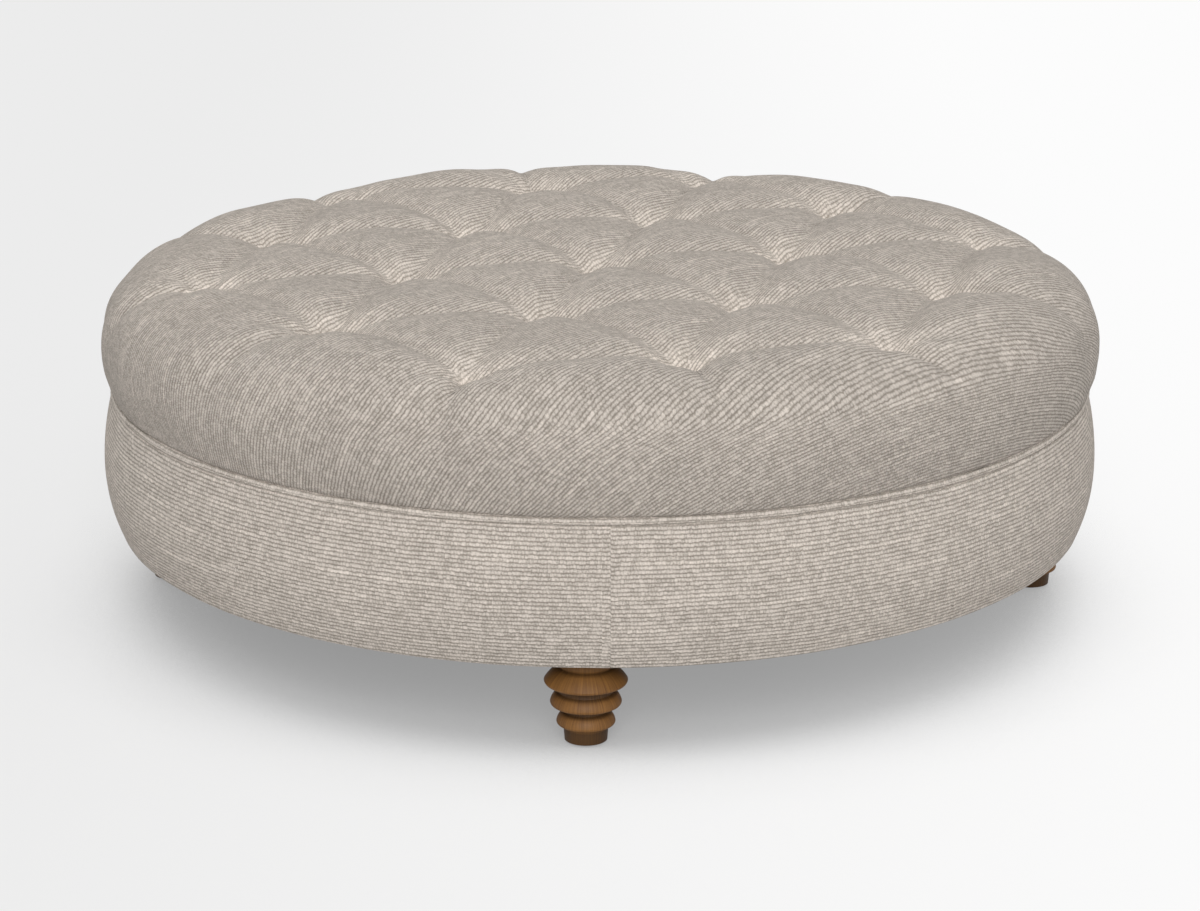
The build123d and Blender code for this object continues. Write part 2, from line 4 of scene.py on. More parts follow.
import bpy
import numpy as np
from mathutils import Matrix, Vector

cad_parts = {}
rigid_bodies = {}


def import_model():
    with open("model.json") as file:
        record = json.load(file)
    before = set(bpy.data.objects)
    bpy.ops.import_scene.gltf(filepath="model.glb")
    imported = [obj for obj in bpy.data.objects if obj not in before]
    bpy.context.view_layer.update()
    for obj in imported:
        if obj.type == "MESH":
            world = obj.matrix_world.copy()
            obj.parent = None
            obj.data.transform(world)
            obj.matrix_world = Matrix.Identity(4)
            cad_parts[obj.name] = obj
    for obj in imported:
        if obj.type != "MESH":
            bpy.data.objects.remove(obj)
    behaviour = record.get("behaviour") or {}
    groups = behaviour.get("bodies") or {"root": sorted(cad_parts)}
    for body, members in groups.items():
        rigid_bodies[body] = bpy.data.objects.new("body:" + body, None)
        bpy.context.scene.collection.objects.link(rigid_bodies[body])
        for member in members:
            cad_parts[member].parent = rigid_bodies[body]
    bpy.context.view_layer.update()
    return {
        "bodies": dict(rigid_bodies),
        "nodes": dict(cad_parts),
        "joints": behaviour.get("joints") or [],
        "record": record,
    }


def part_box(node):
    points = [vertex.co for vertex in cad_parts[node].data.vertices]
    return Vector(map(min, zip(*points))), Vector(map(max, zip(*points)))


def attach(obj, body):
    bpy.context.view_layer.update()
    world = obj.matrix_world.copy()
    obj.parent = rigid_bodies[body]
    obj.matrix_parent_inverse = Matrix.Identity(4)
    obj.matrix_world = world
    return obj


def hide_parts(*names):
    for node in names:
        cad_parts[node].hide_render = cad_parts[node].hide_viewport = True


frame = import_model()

bl_info = {
    "name": "Tufted Ottoman Table",
    "version": (1, 0, 0),
    "blender": (4, 5, 0),
    "location": "View3D > Sidebar > Ottoman",
    "description": "Dresses a round tufted ottoman table with its cushion, band, piping and finishes",
    "category": "Object",
}

MM = 0.001
BODY = "root"
SEED = 20


# Values read from the frame

def node_box(name):
    low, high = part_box(name)
    return tuple(low), tuple(high)


BAND_LOW, BAND_HIGH = node_box("band_cover")
COVER_LOW, COVER_HIGH = node_box("cushion_cover")
WELT_LOW, WELT_HIGH = node_box("welt_cover")
_, DUST_HIGH = node_box("dust_cover")
DECK_LOW, _ = node_box("deck_board")
LEG_COUNT = 4


# What a user would change

class OttomanSizes(bpy.types.PropertyGroup):
    """Sizes of the soft pieces."""
    tuft_spacing: bpy.props.FloatProperty(
        name="Tuft spacing", description="Distance between neighbouring tufts", default=250 * MM,
        unit="LENGTH", min=0.1, max=0.5)
    tuft_depth: bpy.props.FloatProperty(
        name="Tuft depth", description="Depth of a tuft's hollow under the crown", default=32 * MM,
        unit="LENGTH", min=0.0, max=0.08)
    valley_depth: bpy.props.FloatProperty(
        name="Valley depth", description="Depth of the troughs between neighbouring tufts", default=15 * MM,
        unit="LENGTH", min=0.0, max=0.03)
    pleat_depth: bpy.props.FloatProperty(
        name="Edge pleat depth", description="Depth of the pleats from the outer tufts over the shoulder",
        default=24 * MM, unit="LENGTH", min=0.0, max=0.05)
    rib_pitch: bpy.props.FloatProperty(
        name="Rib pitch", description="Distance between the ribs of the fabric", default=4.7 * MM,
        unit="LENGTH", min=0.001, max=0.02)


class OttomanColours(bpy.types.PropertyGroup):
    """Colours of the finishes, as linear values."""
    yarn: bpy.props.FloatVectorProperty(
        name="Yarn", description="Lit face of the fabric's yarn", default=(0.690, 0.621, 0.559),
        subtype="COLOR", size=3, min=0.0, max=1.0)
    # Painted shade: the yarn as it looks shaded in the gaps between the ribs
    yarn_gap_painted_shade: bpy.props.FloatVectorProperty(
        name="Yarn gap", description="Fabric between its ribs", default=(0.322, 0.284, 0.240),
        subtype="COLOR", size=3, min=0.0, max=1.0)
    wood: bpy.props.FloatVectorProperty(
        name="Wood", description="Stained wood of the legs", default=(0.238, 0.109, 0.027),
        subtype="COLOR", size=3, min=0.0, max=1.0)
    # The legs' hollows are darkened by painted shade in their finish, not by this colour
    wood_dark: bpy.props.FloatVectorProperty(
        name="Dark grain", description="Dark streaks and hollows of the legs", default=(0.105, 0.046, 0.015),
        subtype="COLOR", size=3, min=0.0, max=1.0)
    floor: bpy.props.FloatVectorProperty(
        name="Floor", description="Pale floor of the stage", default=(0.83, 0.83, 0.83),
        subtype="COLOR", size=3, min=0.0, max=1.0)


def sizes():
    return bpy.context.scene.ottoman_sizes


def colours():
    return bpy.context.scene.ottoman_colours


# Node tools for the finishes

class Nodes:
    """A small builder for one material's node tree."""

    def __init__(self, name):
        self.material = bpy.data.materials.new(name)
        self.material.use_nodes = True
        self.tree = self.material.node_tree
        self.tree.nodes.clear()
        output = self.tree.nodes.new("ShaderNodeOutputMaterial")
        self.shader = self.tree.nodes.new("ShaderNodeBsdfPrincipled")
        self.tree.links.new(self.shader.outputs["BSDF"], output.inputs["Surface"])

    def node(self, kind, **settings):
        made = self.tree.nodes.new(kind)
        for name, value in settings.items():
            setattr(made, name, value)
        return made

    def link(self, value, socket):
        if isinstance(value, bpy.types.NodeSocket):
            self.tree.links.new(value, socket)
        else:
            socket.default_value = value

    def math(self, operation, first, second=0.0, third=0.0):
        made = self.node("ShaderNodeMath", operation=operation)
        for socket, value in zip(made.inputs, (first, second, third)):
            self.link(value, socket)
        return made.outputs[0]

    def add_share(self, value, more, share):
        """Value plus a share of another."""
        return self.math("ADD", value, self.math("MULTIPLY", more, share))

    def add_swing(self, value, noise, size):
        """Value moved by a noise of 0 to 1, by up to half the size each way."""
        return self.add_share(value, self.math("SUBTRACT", noise, 0.5), size)

    def hump(self, phase, roundness):
        """Round hump over a phase of 0 to 1: its half sine wave, to a power."""
        return self.math("POWER", self.math("SINE", self.math("MULTIPLY", phase, pi)), roundness)

    def vector(self, operation, first, second=(0, 0, 0), scale=None):
        made = self.node("ShaderNodeVectorMath", operation=operation)
        self.link(first, made.inputs[0])
        self.link(second, made.inputs[1])
        if scale is not None:
            self.link(scale, made.inputs["Scale"])
        return made.outputs[0]

    def length(self, vector):
        made = self.node("ShaderNodeVectorMath", operation="LENGTH")
        self.link(vector, made.inputs[0])
        return made.outputs["Value"]

    def split(self, vector):
        made = self.node("ShaderNodeSeparateXYZ")
        self.link(vector, made.inputs[0])
        return made.outputs

    def join(self, x, y, z=0.0):
        made = self.node("ShaderNodeCombineXYZ")
        for socket, value in zip(made.inputs, (x, y, z)):
            self.link(value, socket)
        return made.outputs[0]

    def stretched(self, *parts):
        """Vector of the values given, each times its own number."""
        return self.join(*(self.math("MULTIPLY", value, number) for value, number in parts))

    def noise(self, vector, scale, detail=2.0, roughness=0.5, dimensions="3D"):
        made = self.node("ShaderNodeTexNoise", noise_dimensions=dimensions)
        self.link(vector, made.inputs["Vector"])
        self.link(scale, made.inputs["Scale"])
        self.link(detail, made.inputs["Detail"])
        self.link(roughness, made.inputs["Roughness"])
        return made.outputs["Fac"]

    def spread(self, value, low, high, to_low=0.0, to_high=1.0):
        """Value mapped from one range to another, smoothly and clamped."""
        made = self.node("ShaderNodeMapRange", interpolation_type="SMOOTHSTEP")
        self.link(value, made.inputs["Value"])
        ends = {"From Min": low, "From Max": high, "To Min": to_low, "To Max": to_high}
        for name, number in ends.items():
            self.link(number, made.inputs[name])
        return made.outputs["Result"]

    def mix(self, factor, first, second, blend="MIX"):
        made = self.node("ShaderNodeMix", data_type="RGBA", blend_type=blend)
        self.link(factor, made.inputs["Factor"])
        self.link(self.colour(first), made.inputs[6])
        self.link(self.colour(second), made.inputs[7])
        return made.outputs[2]

    @staticmethod
    def colour(value):
        if isinstance(value, bpy.types.NodeSocket):
            return value
        return (*value[:3], 1.0)

    def object_place(self):
        return self.node("ShaderNodeTexCoord").outputs["Object"]

    def bump(self, height, distance, strength=1.0):
        made = self.node("ShaderNodeBump")
        self.link(height, made.inputs["Height"])
        made.inputs["Distance"].default_value = distance
        made.inputs["Strength"].default_value = strength
        return made.outputs["Normal"]

    def finish(self, colour=None, roughness=None, normal=None, specular=0.3, sheen=0.0, metallic=0.0):
        for name, value in (("Base Color", colour), ("Roughness", roughness), ("Normal", normal)):
            if value is not None:
                value = self.colour(value) if name == "Base Color" else value
                self.link(value, self.shader.inputs[name])
        plain = {"Sheen Weight": sheen, "Sheen Roughness": SHEEN_ROUGHNESS, "Specular IOR Level": specular,
                 "Metallic": metallic}
        for name, value in plain.items():
            self.shader.inputs[name].default_value = value
        return self.material


# Finishes

SHEEN_ROUGHNESS = 0.55
# The range that holds most of a noise's values
NOISE_MIDDLE = (0.3, 0.7)

# The ribbed fabric: how far its ribs wander, its nubs along a rib, and what each adds to height and light
DRIFT_SCALE = 9.0
DRIFT_SIZE = 5.0 * MM
WOBBLE_SCALE = 150.0
WOBBLE_SIZE = 3.4 * MM
RIB_ROUNDNESS = 0.9
WORN_SCALE = 48.0
WORN_START, WORN_FULL = 0.38, 0.72
WORN_MOST = 0.34
WORN_HEIGHT = 0.66
NUB_LENGTH = 4.1 * MM
NUB_ROUNDNESS = 1.2
NUB_START = 0.25
NUB_SWAY = 1.5
SWAY_ALONG, SWAY_ROW = 60.0, 3.71
SLUB_ALONG, SLUB_ROW = 40.0, 1.93
SLUB_START, SLUB_FULL = 0.45, 0.75
LIGHT_ALONG, LIGHT_ROW = 6.0, 9.13
LIGHT_START, LIGHT_FULL = 0.62, 0.80
FIBRE_SCALE = 640.0
CLOUD_SCALE = 3.2
RIB_HEIGHT = 0.60
NUB_HEIGHT = 0.26
TINT_HEIGHT = 0.26
SLUB_HEIGHT = 0.06
FIBRE_HEIGHT = 1.05
GAP_TONE, YARN_TONE = 0.05, 0.95
BASE_LIGHT = 0.93
TINT_LIGHT = 0.08
SLUB_LIGHT = 0.05
CLOUD_LIGHT = 0.08
ROW_LIGHT = 0.12
# Painted light and shade: the share of lightness that the point attribute adds at the tufts and takes on the
# crown and side
TUFT_PAINTED_LIGHT_SHARE = 0.24
FABRIC_BUMP = 1.1 * MM
FABRIC_ROUGH, NUB_ROUGH = 0.96, 0.86


def ribbed_fabric(name):
    """Chunky repp: ribs across U of the map 'weave', nubs and slubs along V, both in metres.

    Each rib is a round hump, worn flatter in places, with a row of nubs on it that starts at its own
    point. The lightness follows the height, with painted shade in the gaps between the ribs, and a point
    attribute paints a highlight into the tufts' hollows and shade onto the crown and side."""
    nodes = Nodes(name)
    where = nodes.node("ShaderNodeUVMap", uv_map="weave").outputs["UV"]
    across, along, _ = nodes.split(where)
    across = nodes.add_swing(across, nodes.noise(where, DRIFT_SCALE), DRIFT_SIZE)
    across = nodes.add_swing(across, nodes.noise(where, WOBBLE_SCALE, roughness=0.6), WOBBLE_SIZE)
    row = nodes.math("DIVIDE", across, sizes().rib_pitch)
    row_number = nodes.math("FLOOR", row)
    rib = nodes.hump(nodes.math("SUBTRACT", row, row_number), RIB_ROUNDNESS)
    worn = nodes.noise(where, WORN_SCALE, roughness=0.6, dimensions="2D")
    worn = nodes.spread(worn, WORN_START, WORN_FULL, 0.0, WORN_MOST)
    rib = nodes.math("MULTIPLY", rib, nodes.math("SUBTRACT", 1.0, worn))
    rib = nodes.add_share(rib, worn, WORN_HEIGHT)
    jitter = nodes.node("ShaderNodeTexWhiteNoise", noise_dimensions="1D")
    nodes.link(row_number, jitter.inputs["W"])
    odd = nodes.math("MULTIPLY", nodes.math("FLOORED_MODULO", row_number, 2.0), 0.5)
    start = nodes.add_share(odd, jitter.outputs["Value"], NUB_START)
    sway = nodes.noise(nodes.stretched((along, SWAY_ALONG), (row_number, SWAY_ROW)), 1.0, dimensions="2D")
    beat = nodes.math("ADD", nodes.math("DIVIDE", along, NUB_LENGTH), start)
    beat = nodes.add_share(beat, sway, NUB_SWAY)
    nub_number = nodes.math("FLOOR", beat)
    nub = nodes.hump(nodes.math("SUBTRACT", beat, nub_number), NUB_ROUNDNESS)
    chance = nodes.node("ShaderNodeTexWhiteNoise", noise_dimensions="2D")
    nodes.link(nodes.join(row_number, nub_number), chance.inputs["Vector"])
    tint = chance.outputs["Value"]
    slub = nodes.stretched((along, SLUB_ALONG), (row_number, SLUB_ROW))
    slub = nodes.spread(nodes.noise(slub, 1.0, detail=1.0, dimensions="2D"), SLUB_START, SLUB_FULL)
    light_row = nodes.stretched((along, LIGHT_ALONG), (row_number, LIGHT_ROW))
    light_row = nodes.noise(light_row, 1.0, detail=0.0, dimensions="2D")
    light_row = nodes.spread(light_row, LIGHT_START, LIGHT_FULL)
    fibre = nodes.noise(where, FIBRE_SCALE, roughness=0.7, dimensions="2D")
    cloud = nodes.noise(where, CLOUD_SCALE, detail=3.0, roughness=0.55)
    height = nodes.math("MULTIPLY", rib, nodes.add_share(RIB_HEIGHT, nub, NUB_HEIGHT))
    height = nodes.add_swing(height, tint, TINT_HEIGHT)
    height = nodes.add_share(height, slub, SLUB_HEIGHT)
    height = nodes.add_swing(height, fibre, FIBRE_HEIGHT)
    # Yarn colour on the ribs' tops, and the painted shade colour in the gaps between them
    face = nodes.mix(nodes.spread(height, GAP_TONE, YARN_TONE), colours().yarn_gap_painted_shade, colours().yarn)
    lift = nodes.add_share(BASE_LIGHT, tint, TINT_LIGHT)
    lift = nodes.add_share(lift, slub, SLUB_LIGHT)
    lift = nodes.add_swing(lift, cloud, CLOUD_LIGHT)
    lift = nodes.add_share(lift, light_row, ROW_LIGHT)
    # Painted highlight in the tufts' hollows and painted shade on the crown and side, read from a point
    # attribute
    painted_light_and_shade = nodes.node("ShaderNodeAttribute", attribute_name="painted_light_and_shade").outputs["Fac"]
    lift = nodes.math("MULTIPLY", lift, nodes.add_share(1.0, painted_light_and_shade, TUFT_PAINTED_LIGHT_SHARE))
    shade = nodes.vector("SCALE", face, scale=lift)
    rough = nodes.spread(nub, 0.0, 1.0, FABRIC_ROUGH, NUB_ROUGH)
    return nodes.finish(shade, rough, nodes.bump(height, FABRIC_BUMP, 0.9), specular=0.15, sheen=0.04)


# The legs' wood: its streaks, the cone that touches the beads, and where painted shade darkens it
STREAK_ROUND, STREAK_DOWN = 22.0, 7.0
FINE_ROUND, FINE_DOWN = 95.0, 24.0
FINE_SHARE = 0.55
WOOD_CLOUD_SCALE = 24.0
WOOD_CLOUD = 0.30
LEG_FLARE = 0.283
LEG_ROOT_RADIUS = 26.6 * MM
LEG_HEAD_RADIUS = 70.8 * MM
LEG_HEAD_TAPER = 0.35
HOLLOW_START, HOLLOW_END = 6 * MM, 11 * MM
HOLLOW_PAINTED_SHADE = 0.46
HEAD_LOW, HEAD_HIGH = 86 * MM, 91 * MM
HEAD_PAINTED_SHADE_LIMIT = 0.85
FOOT_LOW, FOOT_HIGH = 15 * MM, 20 * MM
FOOT_PAINTED_SHADE = 0.33
WOOD_ROUGH = (0.60, 0.48)


def turned_wood(name, centre):
    """Stained hardwood on a lathe-turned leg: fine streaks that run down over the beads.

    The hollows between the beads, told by how far they lie inside a cone that touches the beads, and the
    plain foot are darker by painted shade, which is kept light at the head."""
    nodes = Nodes(name)
    place = nodes.vector("SUBTRACT", nodes.object_place(), (*centre, 0.0))
    x, y, z = nodes.split(place)
    flat = nodes.join(x, y)
    round_x, round_y, _ = nodes.split(nodes.vector("NORMALIZE", flat))
    streak = nodes.stretched((round_x, STREAK_ROUND), (round_y, STREAK_ROUND), (z, STREAK_DOWN))
    streak = nodes.noise(streak, 1.0, detail=4.0, roughness=0.6)
    fine = nodes.stretched((round_x, FINE_ROUND), (round_y, FINE_ROUND), (z, FINE_DOWN))
    fine = nodes.noise(fine, 1.0, detail=3.0, roughness=0.65)
    grain = nodes.add_share(nodes.math("MULTIPLY", streak, 1 - FINE_SHARE), fine, FINE_SHARE)
    grain = nodes.add_swing(grain, nodes.noise(place, WOOD_CLOUD_SCALE), WOOD_CLOUD)
    shade = nodes.mix(nodes.spread(grain, 0.30, 0.64), colours().wood_dark, colours().wood)
    beads = nodes.math("ADD", nodes.math("MULTIPLY", z, LEG_FLARE), LEG_ROOT_RADIUS)
    head = nodes.math("SUBTRACT", LEG_HEAD_RADIUS, nodes.math("MULTIPLY", z, LEG_HEAD_TAPER))
    depth = nodes.math("SUBTRACT", nodes.math("MINIMUM", beads, head), nodes.length(flat))
    # Painted shade: darker in the hollows between the beads and on the foot below them, less at the head
    lit = nodes.spread(depth, HOLLOW_START, HOLLOW_END, 1.0, HOLLOW_PAINTED_SHADE)
    lit = nodes.math("MAXIMUM", lit, nodes.spread(z, HEAD_LOW, HEAD_HIGH, 0.0, HEAD_PAINTED_SHADE_LIMIT))
    lit = nodes.math("MAXIMUM", lit, nodes.spread(z, FOOT_LOW, FOOT_HIGH, 1.0, 0.0))
    lit = nodes.math("MULTIPLY", lit, nodes.spread(z, FOOT_LOW, FOOT_HIGH, FOOT_PAINTED_SHADE, 1.0))
    shade = nodes.vector("SCALE", shade, scale=lit)
    rough = nodes.spread(grain, *NOISE_MIDDLE, *WOOD_ROUGH)
    return nodes.finish(shade, rough, nodes.bump(grain, WOOD_BUMP, 0.5), specular=0.28)


# The frame's plainer finishes: texture scales, and how much of the finer texture each takes
WOOD_BUMP = 0.2 * MM
BOARD_STREAK_SCALE = 60.0
BOARD_PORE_SCALE = 420.0
PORE_SHARE = 0.25
BOARD_ROUGH = (0.85, 0.7)
METAL_CLOUD_SCALE = 340.0
METAL_DARKER = 0.82
GRAIN_CLOUD_SIZE = 14
GRAIN_CLOUD_SHARE = 0.3
GRAIN_POLISH = 0.12
CLOTH_POINT_PITCH = 1.6 * MM
CLOTH_FIBRE_SCALE = 900.0
CLOTH_BUMP = 0.2 * MM


def sawn_wood(name, light, dark, stretch):
    """Unfinished board: long streaks along one direction, with fine pores."""
    nodes = Nodes(name)
    place = nodes.vector("MULTIPLY", nodes.object_place(), stretch)
    streak = nodes.noise(place, BOARD_STREAK_SCALE, detail=5.0, roughness=0.6)
    pore = nodes.noise(place, BOARD_PORE_SCALE)
    grain = nodes.add_share(nodes.math("MULTIPLY", streak, 1 - PORE_SHARE), pore, PORE_SHARE)
    shade = nodes.mix(nodes.spread(grain, 0.35, 0.65), dark, light)
    rough = nodes.spread(grain, *NOISE_MIDDLE, *BOARD_ROUGH)
    return nodes.finish(shade, rough, nodes.bump(grain, WOOD_BUMP, 0.5))


def plated_metal(name, tint, rough_low, rough_high):
    """Plain plated or drawn steel with cloudy roughness."""
    nodes = Nodes(name)
    cloud = nodes.noise(nodes.object_place(), METAL_CLOUD_SCALE, detail=3.0)
    shade = nodes.mix(nodes.spread(cloud, *NOISE_MIDDLE), [value * METAL_DARKER for value in tint], tint)
    return nodes.finish(shade, nodes.spread(cloud, *NOISE_MIDDLE, rough_low, rough_high), metallic=1.0)


def grained(name, light, dark, scale, depth, rough=0.8):
    """Moulded, pressed or spun surface with an even fine grain."""
    nodes = Nodes(name)
    place = nodes.object_place()
    grit = nodes.noise(place, scale, detail=3.0, roughness=0.6)
    cloud = nodes.noise(place, scale / GRAIN_CLOUD_SIZE)
    mixed = nodes.add_share(nodes.math("MULTIPLY", grit, 1 - GRAIN_CLOUD_SHARE), cloud, GRAIN_CLOUD_SHARE)
    shade = nodes.mix(nodes.spread(mixed, 0.35, 0.65), dark, light)
    rough = nodes.spread(grit, *NOISE_MIDDLE, rough, rough - GRAIN_POLISH)
    return nodes.finish(shade, rough, nodes.bump(grit, depth, 0.5))


def bonded_cloth(name):
    """Thin black bonded cloth with its pressed diamond points."""
    nodes = Nodes(name)
    place = nodes.object_place()
    x, y, _ = nodes.split(place)
    one, two = (nodes.math("SINE", nodes.math("MULTIPLY", nodes.math(way, x, y), tau / CLOTH_POINT_PITCH))
                for way in ("ADD", "SUBTRACT"))
    point = nodes.spread(nodes.math("MULTIPLY", one, two), 0.1, 0.9)
    fibre = nodes.noise(place, CLOTH_FIBRE_SCALE, detail=3.0)
    shade = nodes.mix(nodes.math("MULTIPLY", fibre, 0.8), (0.016, 0.016, 0.018), (0.055, 0.055, 0.06))
    return nodes.finish(shade, nodes.spread(point, 0.0, 1.0, 0.92, 0.7), nodes.bump(point, CLOTH_BUMP, 0.4))


# Mesh tools

def mesh_piece(name, points, faces, smooth=True):
    """Object from an array of points and a list or array of faces."""
    mesh = bpy.data.meshes.new(name)
    mesh.from_pydata(points.tolist(), [], [tuple(face) for face in faces])
    mesh.update()
    if smooth:
        mesh.polygons.foreach_set("use_smooth", [True] * len(mesh.polygons))
    made = bpy.data.objects.new(name, mesh)
    bpy.context.collection.objects.link(made)
    return made


def grid_faces(rows, columns, wrap_rows=False, wrap_columns=False):
    """Quads of a grid of points numbered row by row."""
    row = np.arange(rows if wrap_rows else rows - 1)
    column = np.arange(columns if wrap_columns else columns - 1)
    row, column = np.meshgrid(row, column, indexing="ij")
    next_row = (row + 1) % rows
    next_column = (column + 1) % columns
    corners = [row * columns + column, row * columns + next_column,
               next_row * columns + next_column, next_row * columns + column]
    return np.stack([corner.ravel() for corner in corners], axis=1)


def map_weave(piece, across, along):
    """Stores the fabric's own coordinates, in metres, as the piece's UV map. Takes one value per vertex."""
    mesh = piece.data
    layer = mesh.uv_layers.new(name="weave")
    corner = np.empty(len(mesh.loops), dtype=np.int32)
    mesh.loops.foreach_get("vertex_index", corner)
    flat = np.stack([across[corner], along[corner]], axis=1).astype(np.float32)
    layer.data.foreach_set("uv", flat.ravel())


def lap_weave(piece, axis, whole):
    """Lets the faces that close a ring go on past its start in the fabric, a whole ring further on."""
    layer = piece.data.uv_layers["weave"]
    flat = np.empty(len(piece.data.loops) * 2, dtype=np.float32)
    layer.data.foreach_get("uv", flat)
    value = flat.reshape(-1, 4, 2)[:, :, axis]
    lap = (value.max(axis=1) - value.min(axis=1) > whole / 2)[:, None]
    value += whole * (lap & (value < whole / 2))
    layer.data.foreach_set("uv", flat)


def settle(piece, material, slot, *nodes):
    """Gives a piece its finish and its body, and hides the frame nodes that it stands for. The slot is not
    used.
    """
    piece.data.materials.clear()
    piece.data.materials.append(material)
    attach(piece, BODY)
    if nodes:
        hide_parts(*nodes)


def waves(theta, counts, size, seed):
    """Sum of a few seeded sine waves round the piece, scaled to about the size given."""
    draw = np.random.default_rng(seed)
    total = np.zeros_like(theta)
    for count in counts:
        total = total + draw.uniform(0.5, 1.0) * np.sin(count * theta + draw.uniform(0, tau))
    return size * total / sqrt(len(counts))


def arc_points(centre, radius, start, end, steps):
    """Points of a circular arc in the plane of radius and height, by angle in radians."""
    angle = np.linspace(start, end, steps)
    return np.stack([centre[0] + radius * np.cos(angle), centre[1] + radius * np.sin(angle)], axis=1)


def round_points(radius, heading, height):
    """List of points from arrays of radius, heading and height."""
    return np.stack([radius * np.cos(heading), radius * np.sin(heading), height], axis=-1).reshape(-1, 3)


def along_line(points):
    """Running length at each point of a line of points."""
    step = np.sqrt((np.diff(points, axis=0) ** 2).sum(axis=1))
    return np.concatenate([[0.0], np.cumsum(step)])


# The cushion

# Its outline, above the deck and inwards from its widest place
BELLY_RISE = 70 * MM
SHOULDER_INSET = 30.3 * MM
SHOULDER_RISE = 126 * MM
CREST_RISE = 157.5 * MM
CROWN_STEPS = 120
ARC_STEPS = 40
# Where its edge meets the piping and turns in under it, as shares of the piping's radius, in and down
EDGE_IN, EDGE_DOWN = 0.35, 0.15
TUCK_IN, TUCK_DOWN = 0.85, 0.10
TOE_IN, TOE_DOWN = 2.15, 0.40
# Its tufts: a hexagon of this many rings, each tuft moved along one heading, in whole millimetres
TUFT_RINGS = 2
TUFT_STRAYS = (14, 4, -3, 10, 10, 6, -7, -5, 10, -3, -4, -16, 14, 0, -7, -6, -3, -10, -3)
STRAY_HEADING = radians(46.65)
BLEND_POWER = 1.6
HOLLOW_REACH = 46 * MM
POINT_REACH = 27 * MM
BOWL_SHARE = 0.40
CORNER_TUFT_SHARE = 0.72
CORNER_PLEAT_SHARE = 0.6
HOLLOW_SPREAD = (0.96, 1.04)
STAR_POINTS = 6
STAR_SIZE = 0.20
STAR_REACH = 30 * MM
FOLDS = ((9, 1.0), (14, 0.6))
FOLD_DEPTH = 0.9 * MM
FOLD_PLACE = 22 * MM
FOLD_WIDTH = 16 * MM
NEIGHBOUR_REACH = 1.1
VALLEY_SPREAD = (0.85, 1.15)
VALLEY_REACH = 26 * MM
VALLEY_BOW = 6 * MM
CREASE_SOFTNESS = 4 * MM
# The pleats that run from the outer tufts over the shoulder, with a crease in each
PLEAT_END = 760 * MM
PLEAT_BOW = 9 * MM
PLEAT_BOW_RUN = 200 * MM
PLEAT_START = 15 * MM
PLEAT_FADE = 135 * MM
PLEAT_WIDTH = 15 * MM
PLEAT_WIDENING = 0.09
PLEAT_ROUND, PLEAT_SHARP, PLEAT_SHARPNESS = 0.55, 0.45, 1.6
CREASE_DEPTH = 3.5 * MM
CREASE_WIDTH = 5 * MM
CREASE_START = 12 * MM
CREASE_FADE = 70 * MM


def tuft_places():
    """Plan positions of the tufts: a middle row along X, and shorter rows to both sides."""
    spacing = sizes().tuft_spacing
    places = []
    for row in range(-TUFT_RINGS, TUFT_RINGS + 1):
        count = 2 * TUFT_RINGS + 1 - abs(row)
        for index in range(count):
            places.append(((index - (count - 1) / 2) * spacing, row * spacing * sqrt(3) / 2))
    stray = np.array(TUFT_STRAYS)[:, None] * MM
    return np.array(places) + stray * np.array([cos(STRAY_HEADING), sin(STRAY_HEADING)])


def cushion_outline():
    """Half section from the middle of the crown to the toe at the piping, as radius and height.

    A nearly flat crown runs into three arcs that meet without a corner: crest, shoulder and belly."""
    radius = COVER_HIGH[0]
    crest_z = DECK_LOW[2] + CREST_RISE
    belly_z = DECK_LOW[2] + BELLY_RISE
    shoulder_z = DECK_LOW[2] + SHOULDER_RISE
    lift = shoulder_z - belly_z
    bend = (SHOULDER_INSET ** 2 + lift ** 2) / (2 * SHOULDER_INSET)
    turn = asin(lift / bend)
    crest_bend = (crest_z - shoulder_z) / (1 - sin(turn))
    crest_centre = (radius - SHOULDER_INSET - crest_bend * cos(turn), crest_z - crest_bend)
    welt_radius = (WELT_HIGH[2] - WELT_LOW[2]) / 2
    edge, tuck, toe = ((WELT_HIGH[0] - inwards * welt_radius, WELT_HIGH[2] - down * welt_radius)
                       for inwards, down in ((EDGE_IN, EDGE_DOWN), (TUCK_IN, TUCK_DOWN), (TOE_IN, TOE_DOWN)))
    drop = belly_z - edge[1]
    inset = radius - edge[0]
    low_bend = (inset ** 2 + drop ** 2) / (2 * inset)
    crown_rise = COVER_HIGH[2] - crest_z
    reach = np.linspace(0, crest_centre[0], CROWN_STEPS)
    crown = np.stack([reach, COVER_HIGH[2] - crown_rise * (reach / crest_centre[0]) ** 2], axis=1)
    crest = arc_points(crest_centre, crest_bend, pi / 2, turn, ARC_STEPS)
    shoulder = arc_points((radius - bend, belly_z), bend, turn, 0, ARC_STEPS)
    belly = arc_points((radius - low_bend, belly_z), low_bend, 0, -asin(drop / low_bend), ARC_STEPS)
    return np.concatenate([crown, crest[1:], shoulder[1:], belly[1:], [tuck, toe, (toe[0], COVER_LOW[2])]])


def square_to_disc(steps):
    """Square grid of points spread evenly over a unit disc: each square ring of the grid becomes a circle."""
    line = np.linspace(-1, 1, steps)
    s, t = np.meshgrid(line, line, indexing="ij")
    wide = np.abs(s) >= np.abs(t)
    safe_s = np.where(s == 0, 1, s)
    safe_t = np.where(t == 0, 1, t)
    reach = np.where(wide, s, t)
    angle = np.where(wide, pi / 4 * t / safe_s, pi / 2 - pi / 4 * s / safe_t)
    return reach * np.cos(angle), reach * np.sin(angle)


